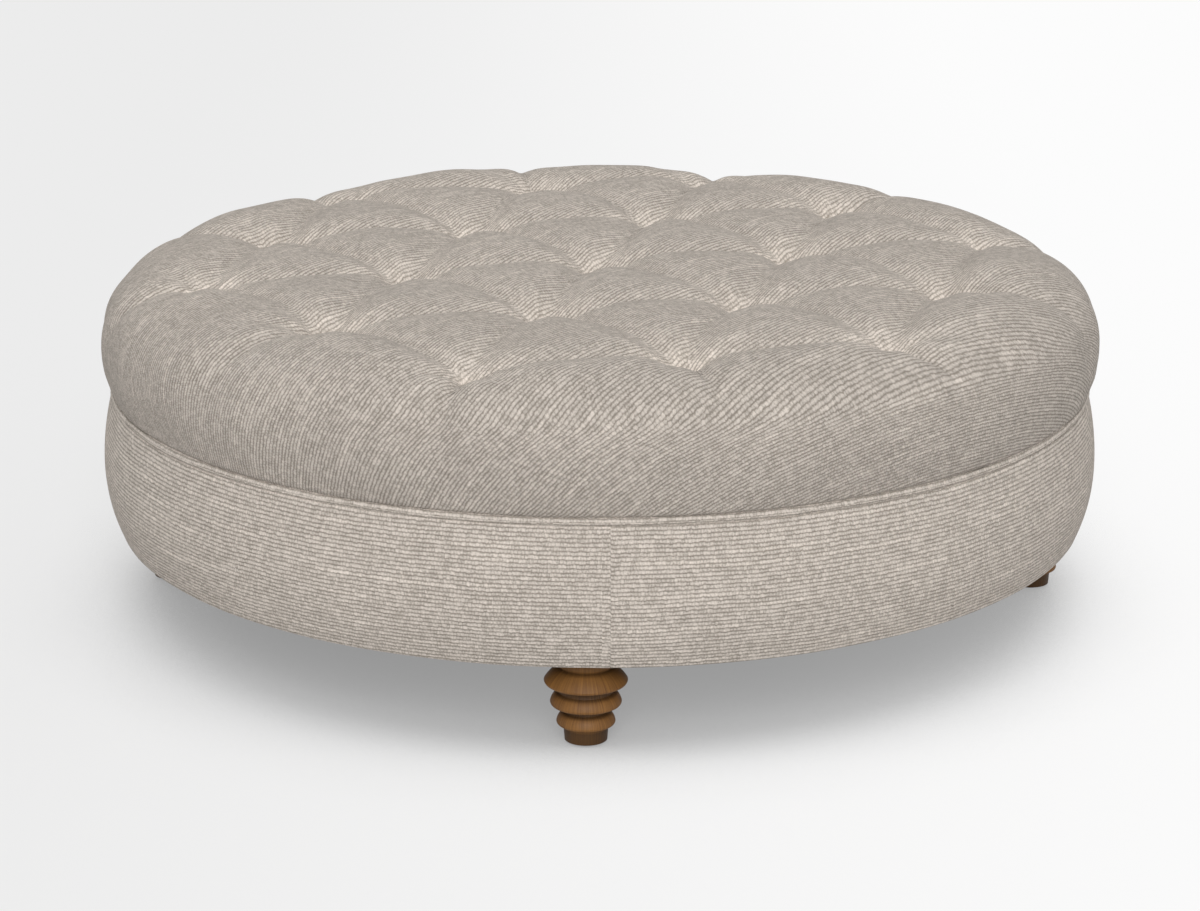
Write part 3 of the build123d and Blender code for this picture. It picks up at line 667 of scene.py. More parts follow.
def tuft_pairs(places):
    """Index pairs of neighbouring tufts."""
    gap = np.linalg.norm(places[:, None] - places[None, :], axis=2)
    first, second = np.where(np.triu(gap < NEIGHBOUR_REACH * sizes().tuft_spacing, 1))
    return list(zip(first, second))


def stretch_between(x, y, start, end):
    """Share along the stretch from start to end, and distance across it, for each point."""
    run = end - start
    length = np.hypot(*run)
    along = ((x - start[0]) * run[0] + (y - start[1]) * run[1]) / length ** 2
    across = ((y - start[1]) * run[0] - (x - start[0]) * run[1]) / length
    return along, across


def corner_share(place, share):
    """The share given for a tuft at a corner of the pattern, where the crown already rolls over, else 1."""
    return share if np.hypot(*place) > (TUFT_RINGS - 0.1) * sizes().tuft_spacing else 1.0


def tufting(x, y):
    """Depth pulled into the cover at each point of its flat cut.

    Round hollows with bulging flanks and a pinched middle, troughs between neighbouring tufts, and soft
    pleats from the outermost tufts towards the edge are blended by the sum of their powers."""
    size = sizes()
    places = tuft_places()
    draw = np.random.default_rng(SEED)
    pulled = np.zeros_like(x)
    pinch = np.zeros_like(x)
    for place in places:
        gap = np.hypot(x - place[0], y - place[1])
        angle = np.arctan2(y - place[1], x - place[0])
        star = 1 + STAR_SIZE * np.cos(STAR_POINTS * angle) * np.clip(gap / STAR_REACH, 0, 1)
        reach = HOLLOW_REACH * star * draw.uniform(*HOLLOW_SPREAD)
        bowl = BOWL_SHARE * np.exp(-0.5 * (gap / reach) ** 2)
        point = (1 - BOWL_SHARE) * np.exp(-gap / (POINT_REACH * star))
        pulled += (size.tuft_depth * corner_share(place, CORNER_TUFT_SHARE) * (bowl + point)) ** BLEND_POWER
        folds = sum(height * np.sin(count * angle + draw.uniform(0, tau)) for count, height in FOLDS)
        pinch += FOLD_DEPTH * folds * np.exp(-((gap - FOLD_PLACE) / FOLD_WIDTH) ** 2)
    for first, second in tuft_pairs(places):
        along, across = stretch_between(x, y, places[first], places[second])
        bow = VALLEY_BOW * draw.uniform(-1, 1) * np.sin(pi * np.clip(along, 0, 1))
        past = np.clip(np.abs(along - 0.5) - 0.5, 0, None) * size.tuft_spacing
        away = np.sqrt((across - bow) ** 2 + past ** 2 + CREASE_SOFTNESS ** 2) - CREASE_SOFTNESS
        deep = size.valley_depth * draw.uniform(*VALLEY_SPREAD)
        pulled += (deep * np.exp(-away / VALLEY_REACH)) ** BLEND_POWER
    outer = places[np.hypot(*places.T) > (TUFT_RINGS - 0.5) * size.tuft_spacing]
    for place in outer:
        edge = place / np.hypot(*place) * PLEAT_END
        along, across = stretch_between(x, y, place, edge)
        run = along * np.hypot(*(edge - place))
        past = np.clip(run, 0, None)
        bow = PLEAT_BOW * draw.uniform(-1, 1) * np.clip(run / PLEAT_BOW_RUN, 0, 1) ** 2
        fade = np.exp(-(past / PLEAT_FADE) ** 2) * np.clip(1 + run / PLEAT_START, 0, 1)
        width = PLEAT_WIDTH + PLEAT_WIDENING * past
        away = (across - bow) / width
        pleat = PLEAT_ROUND / (1 + away ** 2) + PLEAT_SHARP * np.exp(-np.abs(away) * PLEAT_SHARPNESS)
        pulled += (size.pleat_depth * corner_share(place, CORNER_PLEAT_SHARE) * fade * pleat) ** BLEND_POWER
        crease = np.exp(-np.abs(away * width) / CREASE_WIDTH) * np.clip(run / CREASE_START, 0, 1)
        pinch += CREASE_DEPTH * crease * np.exp(-(past / CREASE_FADE) ** 2)
    return pulled ** (1 / BLEND_POWER) + pinch


# Painted light and shade on the fabric: 1 at a tuft for a painted highlight, less than 0 for painted shade on
# the crown and more on the side
TUFT_PAINTED_LIGHT_REACH = 42 * MM
TUFT_PAINTED_LIGHT_POWER = 1.5
CROWN_PAINTED_SHADE = -0.30
SIDE_PAINTED_SHADE = -0.55
SIDE_START = 480 * MM
SIDE_RUN = 120 * MM


def painted_tuft_light_and_shade(x, y):
    """Painted light and shade at each point of its flat cut: 1 at a tuft for a painted highlight, painted
    shade further away.
    """
    total = np.zeros_like(x)
    for place in tuft_places():
        total += np.exp(-(np.hypot(x - place[0], y - place[1]) / TUFT_PAINTED_LIGHT_REACH) ** TUFT_PAINTED_LIGHT_POWER)
    side = np.clip((np.hypot(x, y) - SIDE_START) / SIDE_RUN, 0, 1)
    painted_shade = CROWN_PAINTED_SHADE + (SIDE_PAINTED_SHADE - CROWN_PAINTED_SHADE) * side
    return painted_shade + (1 - painted_shade) * np.clip(total, 0, 1)


SWELL_WAVES = 14
SWELL_SHORTEST, SWELL_LONGEST = 90 * MM, 300 * MM
SWELL_SIZE = 0.45 * MM


def soft_swell(x, y):
    """Small uneven swellings of the padding: seeded long waves in all directions, added up."""
    draw = np.random.default_rng(SEED + 1)
    total = np.zeros_like(x)
    for _ in range(SWELL_WAVES):
        heading = draw.uniform(0, pi)
        wave = draw.uniform(SWELL_SHORTEST, SWELL_LONGEST)
        phase = draw.uniform(0, tau)
        total += np.sin((x * cos(heading) + y * sin(heading)) * tau / wave + phase)
    return total * SWELL_SIZE


CUSHION_STEPS = 281
SLOPE_PROBE = 2 * MM
# Above the edge: where the forms end, over how far they fade, and the small puckers along the seam
EDGE_PLAIN, EDGE_FADE = 12 * MM, 30 * MM
PUCKER_COUNTS = (71, 97, 133, 158, 211)
PUCKER_SIZE = 0.5 * MM
PUCKER_RISE, PUCKER_WIDTH = 40 * MM, 26 * MM
# Growth of the fabric's own distance from the middle, at these running lengths along the outline
FABRIC_RUN = tuple(run * MM for run in (0, 440, 540, 600, 625, 660, 760))
FABRIC_GROWTH = (1.0, 1.0, 0.68, 0.61, 1.42, 1.18, 1.12)
FABRIC_STEPS = 400


def fabric_reach(reach):
    """The fabric's own distance from the middle, for a running length along the outline.

    It grows less than the running length over the shoulder, where the fabric is stretched, and more on
    the side, where it is gathered. Between the given lengths the growth changes evenly, and the distance
    is the sum of the growth from the middle outwards."""
    fine = np.linspace(0, FABRIC_RUN[-1], FABRIC_STEPS)
    growth = np.interp(fine, FABRIC_RUN, FABRIC_GROWTH)
    total = np.append(0, np.cumsum((growth[1:] + growth[:-1]) / 2 * np.diff(fine)))
    return np.interp(reach, fine, total)


def cushion_surface():
    """Points of the cushion's cover, their x and y in the flat cut, and their x and y in the fabric.

    The flat cut is a disc. A point at a distance from its middle lies at that running length along the
    outline, at the same heading, moved in along the outline's normal by the tufting."""
    outline = cushion_outline()
    run = along_line(outline)
    u, v = square_to_disc(CUSHION_STEPS)
    reach = np.hypot(u, v) * run[-1]
    heading = np.arctan2(v, u)
    x, y = reach * np.cos(heading), reach * np.sin(heading)
    radius = np.interp(reach, run, outline[:, 0])
    height = np.interp(reach, run, outline[:, 1])
    widen, rise = (np.interp(reach + SLOPE_PROBE, run, line) - np.interp(reach - SLOPE_PROBE, run, line)
                   for line in outline.T)
    steep = np.hypot(rise, widen) + 1e-9
    out, up = -rise / steep, widen / steep
    left = run[-1] - reach
    keep = np.clip((left - EDGE_PLAIN) / EDGE_FADE, 0, 1)
    pucker = waves(heading, PUCKER_COUNTS, PUCKER_SIZE, SEED + 2)
    pucker = pucker * np.exp(-((left - PUCKER_RISE) / PUCKER_WIDTH) ** 2)
    depth = (tufting(x, y) - soft_swell(x, y) + pucker) * keep
    points = round_points(radius - out * depth, heading, height - up * depth)
    drawn = fabric_reach(reach)
    return points, x.ravel(), y.ravel(), (drawn * np.cos(heading)).ravel(), (drawn * np.sin(heading)).ravel()


# The cloth simulation: how far from a tuft and above the edge it is held, in and outwards moves
CLOTH_PRESSURE = 4.0
CLOTH_FRAMES = 20
CLOTH_CAP = 5 * MM
CLOTH_INSET = 0.9 * MM
CLOTH_TUFT_HOLD = 24 * MM
CLOTH_SIDE_HOLD = 40 * MM
CLOTH_LEAST_HOLD = 0.02


def cloth_moves(points, cut_x, cut_y):
    """Moves of the cover's points in a cloth simulation of every second point, blown up from inside.

    The cloth starts a little inside the cover, and the tufts and the lower edge are held. A move is
    shortened to the cap, and a point between two of the simulated ones takes the mean of their moves."""
    grid = points.reshape(CUSHION_STEPS, CUSHION_STEPS, 3)[::2, ::2]
    count = len(grid)
    outwards = np.cross(np.gradient(grid, axis=1), np.gradient(grid, axis=0))
    outwards *= np.sign(outwards[count // 2, count // 2, 2]) / np.linalg.norm(outwards, axis=2, keepdims=True)
    flat_x, flat_y = (cut.reshape(CUSHION_STEPS, CUSHION_STEPS)[::2, ::2].ravel() for cut in (cut_x, cut_y))
    held = np.clip(1 - (grid[..., 2].ravel() - COVER_LOW[2]) / CLOTH_SIDE_HOLD, 0, 1)
    for x, y in tuft_places():
        held = np.maximum(held, np.exp(-(np.hypot(flat_x - x, flat_y - y) / CLOTH_TUFT_HOLD) ** 2))
    inset = -CLOTH_INSET * (1 - held)[:, None] * outwards.reshape(-1, 3)
    start = grid.reshape(-1, 3) + inset
    piece = mesh_piece("cloth_trial", start, grid_faces(count, count)[:, ::-1].tolist())
    group = piece.vertex_groups.new(name="held")
    for number in np.flatnonzero(held > CLOTH_LEAST_HOLD):
        group.add([int(number)], float(held[number]), "REPLACE")
    cloth = piece.modifiers.new("cloth", "CLOTH")
    cloth.settings.use_pressure = True
    cloth.settings.uniform_pressure_force = CLOTH_PRESSURE
    cloth.settings.effector_weights.gravity = 0.0
    cloth.settings.vertex_group_mass = group.name
    cloth.collision_settings.use_collision = False
    cloth.point_cache.frame_end = CLOTH_FRAMES
    scene = bpy.context.scene
    for frame in range(1, CLOTH_FRAMES + 1):
        scene.frame_set(frame)
    blown = piece.evaluated_get(bpy.context.evaluated_depsgraph_get()).data
    ends = np.empty(3 * len(blown.vertices))
    blown.vertices.foreach_get("co", ends)
    move = ends.reshape(-1, 3) - start
    scene.frame_set(1)
    mesh = piece.data
    bpy.data.objects.remove(piece)
    bpy.data.meshes.remove(mesh)
    length = np.linalg.norm(move, axis=1, keepdims=True) + 1e-9
    move = (inset + move * CLOTH_CAP * np.tanh(length / CLOTH_CAP) / length).reshape(count, count, 3)
    full = np.zeros((CUSHION_STEPS, CUSHION_STEPS, 3))
    full[::2, ::2] = move
    full[1::2, ::2] = (move[:-1] + move[1:]) / 2
    full[:, 1::2] = (full[:, :-1:2] + full[:, 2::2]) / 2
    return full.reshape(-1, 3)


def rim_of_grid(steps):
    """Numbers of the border points of a square grid, in order round it."""
    grid = np.arange(steps * steps).reshape(steps, steps)
    return np.concatenate([grid[:-1, 0], grid[-1, :-1], grid[:0:-1, -1], grid[0, :0:-1]])


class OTTOMAN_OT_cushion(bpy.types.Operator):
    """Make the tufted cushion as one closed padded piece in ribbed fabric"""
    bl_idname = "ottoman.cushion"
    bl_label = "Cushion"

    def execute(self, context):
        points, cut_x, cut_y, across, along = cushion_surface()
        faces = grid_faces(CUSHION_STEPS, CUSHION_STEPS)
        points = points + cloth_moves(points, cut_x, cut_y)
        rim = rim_of_grid(CUSHION_STEPS)
        middle = len(points)
        points = np.concatenate([points, [[0, 0, COVER_LOW[2]]]])
        cut_x, cut_y = np.append(cut_x, 0), np.append(cut_y, 0)
        across, along = np.append(across, 0), np.append(along, 0)
        under = [(int(b), int(a), middle) for a, b in zip(rim, np.roll(rim, -1))]
        piece = mesh_piece("tufted_cushion", points, [*faces.tolist(), *under])
        map_weave(piece, across, along)
        # A point attribute of painted light and shade: a highlight at the tufts, shade on the crown and side
        painted_light_layer = piece.data.attributes.new("painted_light_and_shade", "FLOAT", "POINT")
        painted_light_layer.data.foreach_set("value", painted_tuft_light_and_shade(cut_x, cut_y).astype(np.float32))
        settle(piece, context.scene.ottoman_fabric, "rib_fabric", "cushion_cover", "wadding", "foam_core")
        return {"FINISHED"}


# The base band

# Its section, inwards from the widest place of its bulge and above its lower edge
BULGE_HEIGHT = 77 * MM
BAND_FOOT_INSET = 17 * MM
BAND_SHOULDER_INSET = 11.5 * MM
SHOULDER_DROP = 3.4 * MM
SHOULDER_RAISE = 2.2 * MM
HEM_BEND = 3 * MM
HOOP_FACE = 580.4 * MM
FLANGE_INNER = 560 * MM
SHEET = 1.4 * MM
# The upright join: a groove with a slight puff beside it, and closer points of the surface round it
SEAM_HEADING = radians(-42.3)
SEAM_WIDTH = 1.4 * MM
SEAM_DEPTH = 0.35 * MM
SEAM_RIB_STEP = 0.45
PUFF_HEIGHT = 0.3 * MM
PUFF_PLACE = 7 * MM
PUFF_WIDTH = 5 * MM
SEAM_POINTS = (-9, -4, -2.2, -1.2, -0.5, 0, 0.5, 1.2, 2.2, 4, 9)
SEAM_CLEAR = 0.02
BAND_STEPS = 760
# The unevenness of its padding, full outside of the start of the face
FACE_START, FACE_FADE = 584 * MM, 8 * MM
FACE_INSET = 1.2 * MM
BAND_SWELLS, BAND_SWELL = (3, 5, 8, 13, 21), 0.7 * MM
BAND_RIPPLES, BAND_RIPPLE = (34, 47, 61), 0.25 * MM


def band_outline():
    """Closed section of the padded band: bottom edge, bulging face, roll over the top, and its back."""
    low_z, high_z = BAND_LOW[2], BAND_HIGH[2] + SHOULDER_RAISE
    bulge = BAND_HIGH[0]
    shoulder = bulge - BAND_SHOULDER_INSET
    bulge_z = low_z + BULGE_HEIGHT
    low_bend = (BAND_FOOT_INSET ** 2 + BULGE_HEIGHT ** 2) / (2 * BAND_FOOT_INSET)
    lift = high_z - SHOULDER_DROP - bulge_z
    high_bend = (BAND_SHOULDER_INSET ** 2 + lift ** 2) / (2 * BAND_SHOULDER_INSET)
    low_turn = -asin((BULGE_HEIGHT - HEM_BEND) / low_bend)
    edge = arc_points((bulge - low_bend, bulge_z), low_bend, low_turn, low_turn, 1)[0]
    hem = arc_points((edge[0] - HEM_BEND, low_z + HEM_BEND), HEM_BEND, -pi / 2, low_turn, 6)
    face_low = arc_points((bulge - low_bend, bulge_z), low_bend, low_turn, 0, 22)
    face_high = arc_points((bulge - high_bend, bulge_z), high_bend, 0, asin(lift / high_bend), 24)
    roll = arc_points((shoulder - SHOULDER_DROP, high_z - SHOULDER_DROP), SHOULDER_DROP, 0.3, pi / 2, 6)
    behind = np.array([[FLANGE_INNER, high_z], [FLANGE_INNER, high_z - SHEET], [HOOP_FACE, high_z - SHEET],
                       [HOOP_FACE, low_z + SHEET], [FLANGE_INNER, low_z + SHEET], [FLANGE_INNER, low_z]])
    return np.concatenate([hem, face_low[1:], face_high[1:], roll, behind])


class OTTOMAN_OT_band(bpy.types.Operator):
    """Make the padded base band with its level ribs and its one upright join"""
    bl_idname = "ottoman.band"
    bl_label = "Base band"

    def execute(self, context):
        outline = band_outline()
        run = along_line(outline)
        near = SEAM_HEADING + np.array(SEAM_POINTS) * MM / BAND_HIGH[0]
        rest = np.linspace(SEAM_HEADING + SEAM_CLEAR, SEAM_HEADING + tau - SEAM_CLEAR, BAND_STEPS)
        heading = np.sort(np.concatenate([rest, near]))
        ring, section = np.meshgrid(heading, np.arange(len(outline)), indexing="ij")
        radius = outline[section, 0]
        height = outline[section, 1]
        face = np.clip((radius - FACE_START) / FACE_FADE, 0, 1)
        offset = (ring - SEAM_HEADING + pi) % tau - pi
        groove = SEAM_DEPTH * np.exp(-(offset * BAND_HIGH[0] / SEAM_WIDTH) ** 2)
        puff = PUFF_HEIGHT * np.exp(-((np.abs(offset) * BAND_HIGH[0] - PUFF_PLACE) / PUFF_WIDTH) ** 2)
        swell = waves(ring, BAND_SWELLS, BAND_SWELL, SEED + 3)
        ripple = waves(ring, BAND_RIPPLES, BAND_RIPPLE, SEED + 4) * np.sin(3 * pi * run[section] / run[-1])
        radius = radius + face * (swell + ripple - groove + puff - FACE_INSET)
        faces = grid_faces(len(heading), len(outline), wrap_rows=True, wrap_columns=True)
        piece = mesh_piece("base_band", round_points(radius, ring, height), faces)
        step = np.where(offset > 0, SEAM_RIB_STEP * sizes().rib_pitch, 0)
        map_weave(piece, (run[section] + step).ravel(), (ring * BAND_HIGH[0]).ravel())
        lap_weave(piece, 1, tau * BAND_HIGH[0])
        settle(piece, context.scene.ottoman_fabric, "rib_fabric", "band_cover", "band_padding")
        return {"FINISHED"}


# The piping: its steps round the table and round the cord, its small puckers and its slow leaning

PIPING_CLEAR = 0.3 * MM
PIPING_INSET = 0.4 * MM
PIPING_STEPS, PIPING_SIDES = 900, 18
PIPING_PUCKERS, PIPING_PUCKER = (90, 131, 177, 230), 0.18 * MM
PIPING_LEANS, PIPING_LEAN = (4, 7, 11, 19), 0.175 * MM


class OTTOMAN_OT_piping(bpy.types.Operator):
    """Make the fabric-covered piping between base and cushion"""
    bl_idname = "ottoman.piping"
    bl_label = "Piping"

    def execute(self, context):
        tube = (WELT_HIGH[2] - WELT_LOW[2] - PIPING_CLEAR) / 2
        middle_radius = WELT_HIGH[0] - tube
        middle_z = WELT_HIGH[2] - tube
        heading, turn = np.meshgrid(np.linspace(0, tau, PIPING_STEPS, endpoint=False),
                                    np.linspace(0, tau, PIPING_SIDES, endpoint=False), indexing="ij")
        pucker = waves(heading, PIPING_PUCKERS, PIPING_PUCKER, SEED + 5)
        lean = waves(heading, PIPING_LEANS, PIPING_LEAN, SEED + 6)
        radius = middle_radius + (tube + pucker) * np.cos(turn) - PIPING_INSET
        height = middle_z + (tube + pucker) * np.sin(turn) + lean
        faces = grid_faces(PIPING_STEPS, PIPING_SIDES, wrap_rows=True, wrap_columns=True)
        piece = mesh_piece("piping", round_points(radius, heading, height), faces)
        map_weave(piece, (turn * tube).ravel(), (heading * middle_radius).ravel())
        lap_weave(piece, 0, tau * tube)
        lap_weave(piece, 1, tau * middle_radius)
        settle(piece, context.scene.ottoman_fabric, "piping_fabric", "welt_cover", "welt_cord")
        return {"FINISHED"}


# The tufting stitches: a cross of two short strands, bowed up and thin at their ends

STRAND = 0.8 * MM
STRAND_TIP = 0.02
STITCH_HALF = 4 * MM
STITCH_RISE = 1.6 * MM
STITCH_STEPS, STITCH_SIDES = 9, 8
STITCH_HEADINGS = (0.5, 0.5 + pi / 2)


class OTTOMAN_OT_stitches(bpy.types.Operator):
    """Make the small crossed stitch sunk in each tuft"""
    bl_idname = "ottoman.stitches"
    bl_label = "Tuft stitches"

    def execute(self, context):
        share, turn = np.meshgrid(np.linspace(-1, 1, STITCH_STEPS),
                                  np.linspace(0, tau, STITCH_SIDES, endpoint=False), indexing="ij")
        reach = STITCH_HALF * share
        rise = STITCH_RISE * (1 - share ** 2)
        girth = STRAND * np.sqrt(np.clip(1 + STRAND_TIP - share ** 4, STRAND_TIP, 1))
        wall = grid_faces(STITCH_STEPS, STITCH_SIDES, wrap_columns=True)
        rim = np.arange(STITCH_SIDES)
        points, faces = [], []
        cover, cut_x, cut_y, _, _ = cushion_surface()
        for x, y in tuft_places():
            spot = cover[np.argmin(np.hypot(cut_x - x, cut_y - y))]
            for lean in STITCH_HEADINGS:
                side = girth * np.cos(turn)
                px = spot[0] + reach * cos(lean) - side * sin(lean)
                py = spot[1] + reach * sin(lean) + side * cos(lean)
                pz = spot[2] + rise + girth * np.sin(turn)
                start = len(points) * share.size
                points.append(np.stack([px, py, pz], axis=-1).reshape(-1, 3))
                faces += (wall + start).tolist()
                faces += [tuple(start + rim), tuple(start + share.size - STITCH_SIDES + rim[::-1])]
        piece = mesh_piece("tuft_stitches", np.concatenate(points), faces)
        settle(piece, context.scene.ottoman_twine, "twine", "tuft_ties")
        return {"FINISHED"}


# The dust cover: its sag in the middle, and its crimps between the staples near the edge

DUST_RINGS, DUST_SPOKES = 60, 240
DUST_INSET = 0.4 * MM
DUST_THICKNESS = 0.35 * MM
DUST_SAG, DUST_SAG_REACH = 2.2 * MM, 470 * MM
DUST_CRIMPS, DUST_CRIMP = 24, 0.175 * MM
DUST_CRIMP_START, DUST_CRIMP_FADE = 480 * MM, 100 * MM


class OTTOMAN_OT_dust_cover(bpy.types.Operator):
    """Make the thin cloth stapled under the base, sagging a little between its staples"""
    bl_idname = "ottoman.dust_cover"
    bl_label = "Dust cover"

    def execute(self, context):
        radius = DUST_HIGH[0]
        top = DUST_HIGH[2] - DUST_INSET
        share, heading = np.meshgrid(np.linspace(0, 1, DUST_RINGS)[1:],
                                     np.linspace(0, tau, DUST_SPOKES, endpoint=False), indexing="ij")
        reach = share * radius
        sag = DUST_SAG * np.clip(1 - (reach / DUST_SAG_REACH) ** 2, 0, 1)
        crimp = DUST_CRIMP * np.cos(DUST_CRIMPS * heading)
        crimp = crimp * np.clip((reach - DUST_CRIMP_START) / DUST_CRIMP_FADE, 0, 1)
        points = round_points(reach, heading, top - sag - np.abs(crimp))
        points = np.concatenate([points, [[0, 0, top - DUST_SAG]]])
        faces = grid_faces(DUST_RINGS - 1, DUST_SPOKES, wrap_columns=True)[:, ::-1].tolist()
        middle = len(points) - 1
        faces += [(middle, index, (index + 1) % DUST_SPOKES) for index in range(DUST_SPOKES)]
        piece = mesh_piece("dust_cloth", points, faces)
        wall = piece.modifiers.new("cloth thickness", "SOLIDIFY")
        wall.thickness = DUST_THICKNESS
        settle(piece, context.scene.ottoman_cambric, "black_cambric", "dust_cover")
        return {"FINISHED"}


# The frame's own pieces, by the start of their nodes' names; a later line wins over an earlier one

# Light and dark tone, scale and depth of the grain, roughness
GRAIN_LOOKS = (
    ("glide_", "glide_nylon", (0.05, 0.04, 0.035), (0.03, 0.024, 0.02), 500.0, 0.1 * MM, 0.6),
    ("hoop_panel_", "hoop_hardboard", (0.24, 0.14, 0.075), (0.17, 0.095, 0.05), 260.0, 0.2 * MM, 0.8),
    ("tuft_washers", "pressed_fibre", (0.30, 0.22, 0.15), (0.20, 0.14, 0.09), 700.0, 0.1 * MM, 0.8),
)
# Light and dark tone, and how the grain is stretched along the three axes
BOARD_LOOKS = (
    ("leg_block_", "block_plywood", (0.62, 0.46, 0.29), (0.45, 0.31, 0.18), (1, 6, 1)),
    ("bottom_board", "board_plywood", (0.60, 0.44, 0.27), (0.44, 0.30, 0.17), (0.16, 1, 4)),
    ("top_ring", "ring_plywood", (0.60, 0.44, 0.27), (0.44, 0.30, 0.17), (1, 0.16, 4)),
    ("deck_board", "deck_plywood", (0.62, 0.46, 0.29), (0.46, 0.32, 0.18), (0.16, 1, 4)),
    ("joist_", "joist_plywood", (0.58, 0.42, 0.26), (0.42, 0.28, 0.16), (0.16, 4, 1)),
    ("upright_", "upright_softwood", (0.68, 0.50, 0.30), (0.52, 0.35, 0.19), (1, 1, 0.16)),
)
# Tint, and the least and most roughness
METAL_LOOKS = (
    ("hanger_bolts", "bolt_zinc", (0.62, 0.63, 0.64), 0.28, 0.42),
    ("tee_nuts", "nut_zinc", (0.60, 0.61, 0.62), 0.30, 0.45),
    ("frame_screws", "screw_zinc", (0.62, 0.60, 0.52), 0.28, 0.42),
    ("deck_screws", "deck_screw_zinc", (0.62, 0.60, 0.52), 0.28, 0.42),
    ("glide_nails", "nail_steel", (0.50, 0.50, 0.51), 0.25, 0.4),
    ("hoop_nails", "hoop_nail_steel", (0.50, 0.50, 0.51), 0.25, 0.4),
    ("band_staples", "band_staple_wire", (0.55, 0.55, 0.56), 0.22, 0.36),
    ("dust_cover_staples", "dust_staple_wire", (0.55, 0.55, 0.56), 0.22, 0.36),
    ("deck_staples", "deck_staple_wire", (0.55, 0.55, 0.56), 0.22, 0.36),
)
TWINE_LOOK = ("waxed_twine", (0.50, 0.44, 0.38), (0.36, 0.31, 0.26), 900.0, 0.2 * MM)


class OTTOMAN_OT_finishes(bpy.types.Operator):
    """Give the legs, boards and fasteners of the frame their finishes"""
    bl_idname = "ottoman.finishes"
    bl_label = "Frame finishes"

    def execute(self, context):
        nodes = frame["nodes"]
        finishes = {}
        for make, looks in ((grained, GRAIN_LOOKS), (sawn_wood, BOARD_LOOKS), (plated_metal, METAL_LOOKS)):
            for start, *look in looks:
                finishes[start] = make(*look)
        for number in range(1, LEG_COUNT + 1):
            low, high = node_box(f"leg_{number}")
            centre = ((low[0] + high[0]) / 2, (low[1] + high[1]) / 2)
            self.dress(nodes[f"leg_{number}"], turned_wood(f"turned_wood_{number}", centre))
        for name, node in nodes.items():
            for start, material in finishes.items():
                if name.startswith(start):
                    self.dress(node, material)
        return {"FINISHED"}

    @staticmethod
    def dress(node, material):
        if not node.material_slots:
            node.data.materials.append(material)
        for place in node.material_slots:
            place.material = material


# The stage

# The camera of the photograph, aimed at a point on the table's axis
CAMERA_HEADING = radians(46.65)
CAMERA_RISE = radians(17.17)
CAMERA_DISTANCE = 4169.6 * MM
CAMERA_AIM_HEIGHT = 162.7 * MM
PHOTO_WIDTH_PX = 1200
PHOTO_FOCAL_PX = 3352.1
SENSOR = 36.0
# Light from all round, the backdrop that is seen, and the lamps: degrees right of the camera and up, strength
WORLD_STRENGTH = 0.53
BACKDROP = 0.93
LAMP_WIDTH = radians(30)
LAMP_DISTANCE = 3.0
LAMPS = (("key", 1, 33, 1.88), ("top", 0, 86, 0.19), ("left", -60, 30, 0.02), ("right", 62, 30, 0.08))
# The floor: its colour where it is seen and where it only lights the table
FLOOR_HALF = 14.0
FLOOR_ROUGHNESS = 0.9
FLOOR_SHADOW_SHARE = 0.28
FLOOR_BOUNCE_SHARE = 0.80
# Its painted glow from left to right of the camera (brighter to the right), far away, and under the table (a
# painted shadow)
FLOOR_GLOW_REACH = 0.95
FLOOR_GLOW_LEFT = 0.622
FLOOR_GLOW_RIGHT = 0.757
FLOOR_FADE_START = 6.0
FLOOR_GLOW_FAR = 0.71
CLOSED_REACH = 350 * MM
CLOSED_SAMPLES = 6
CLOSED_LOW, CLOSED_HIGH = 0.36, 0.63
PAINTED_SHADOW_GLOW = 0.445
SEEN_RAYS = ("Is Camera Ray", "Is Glossy Ray", "Is Transmission Ray")


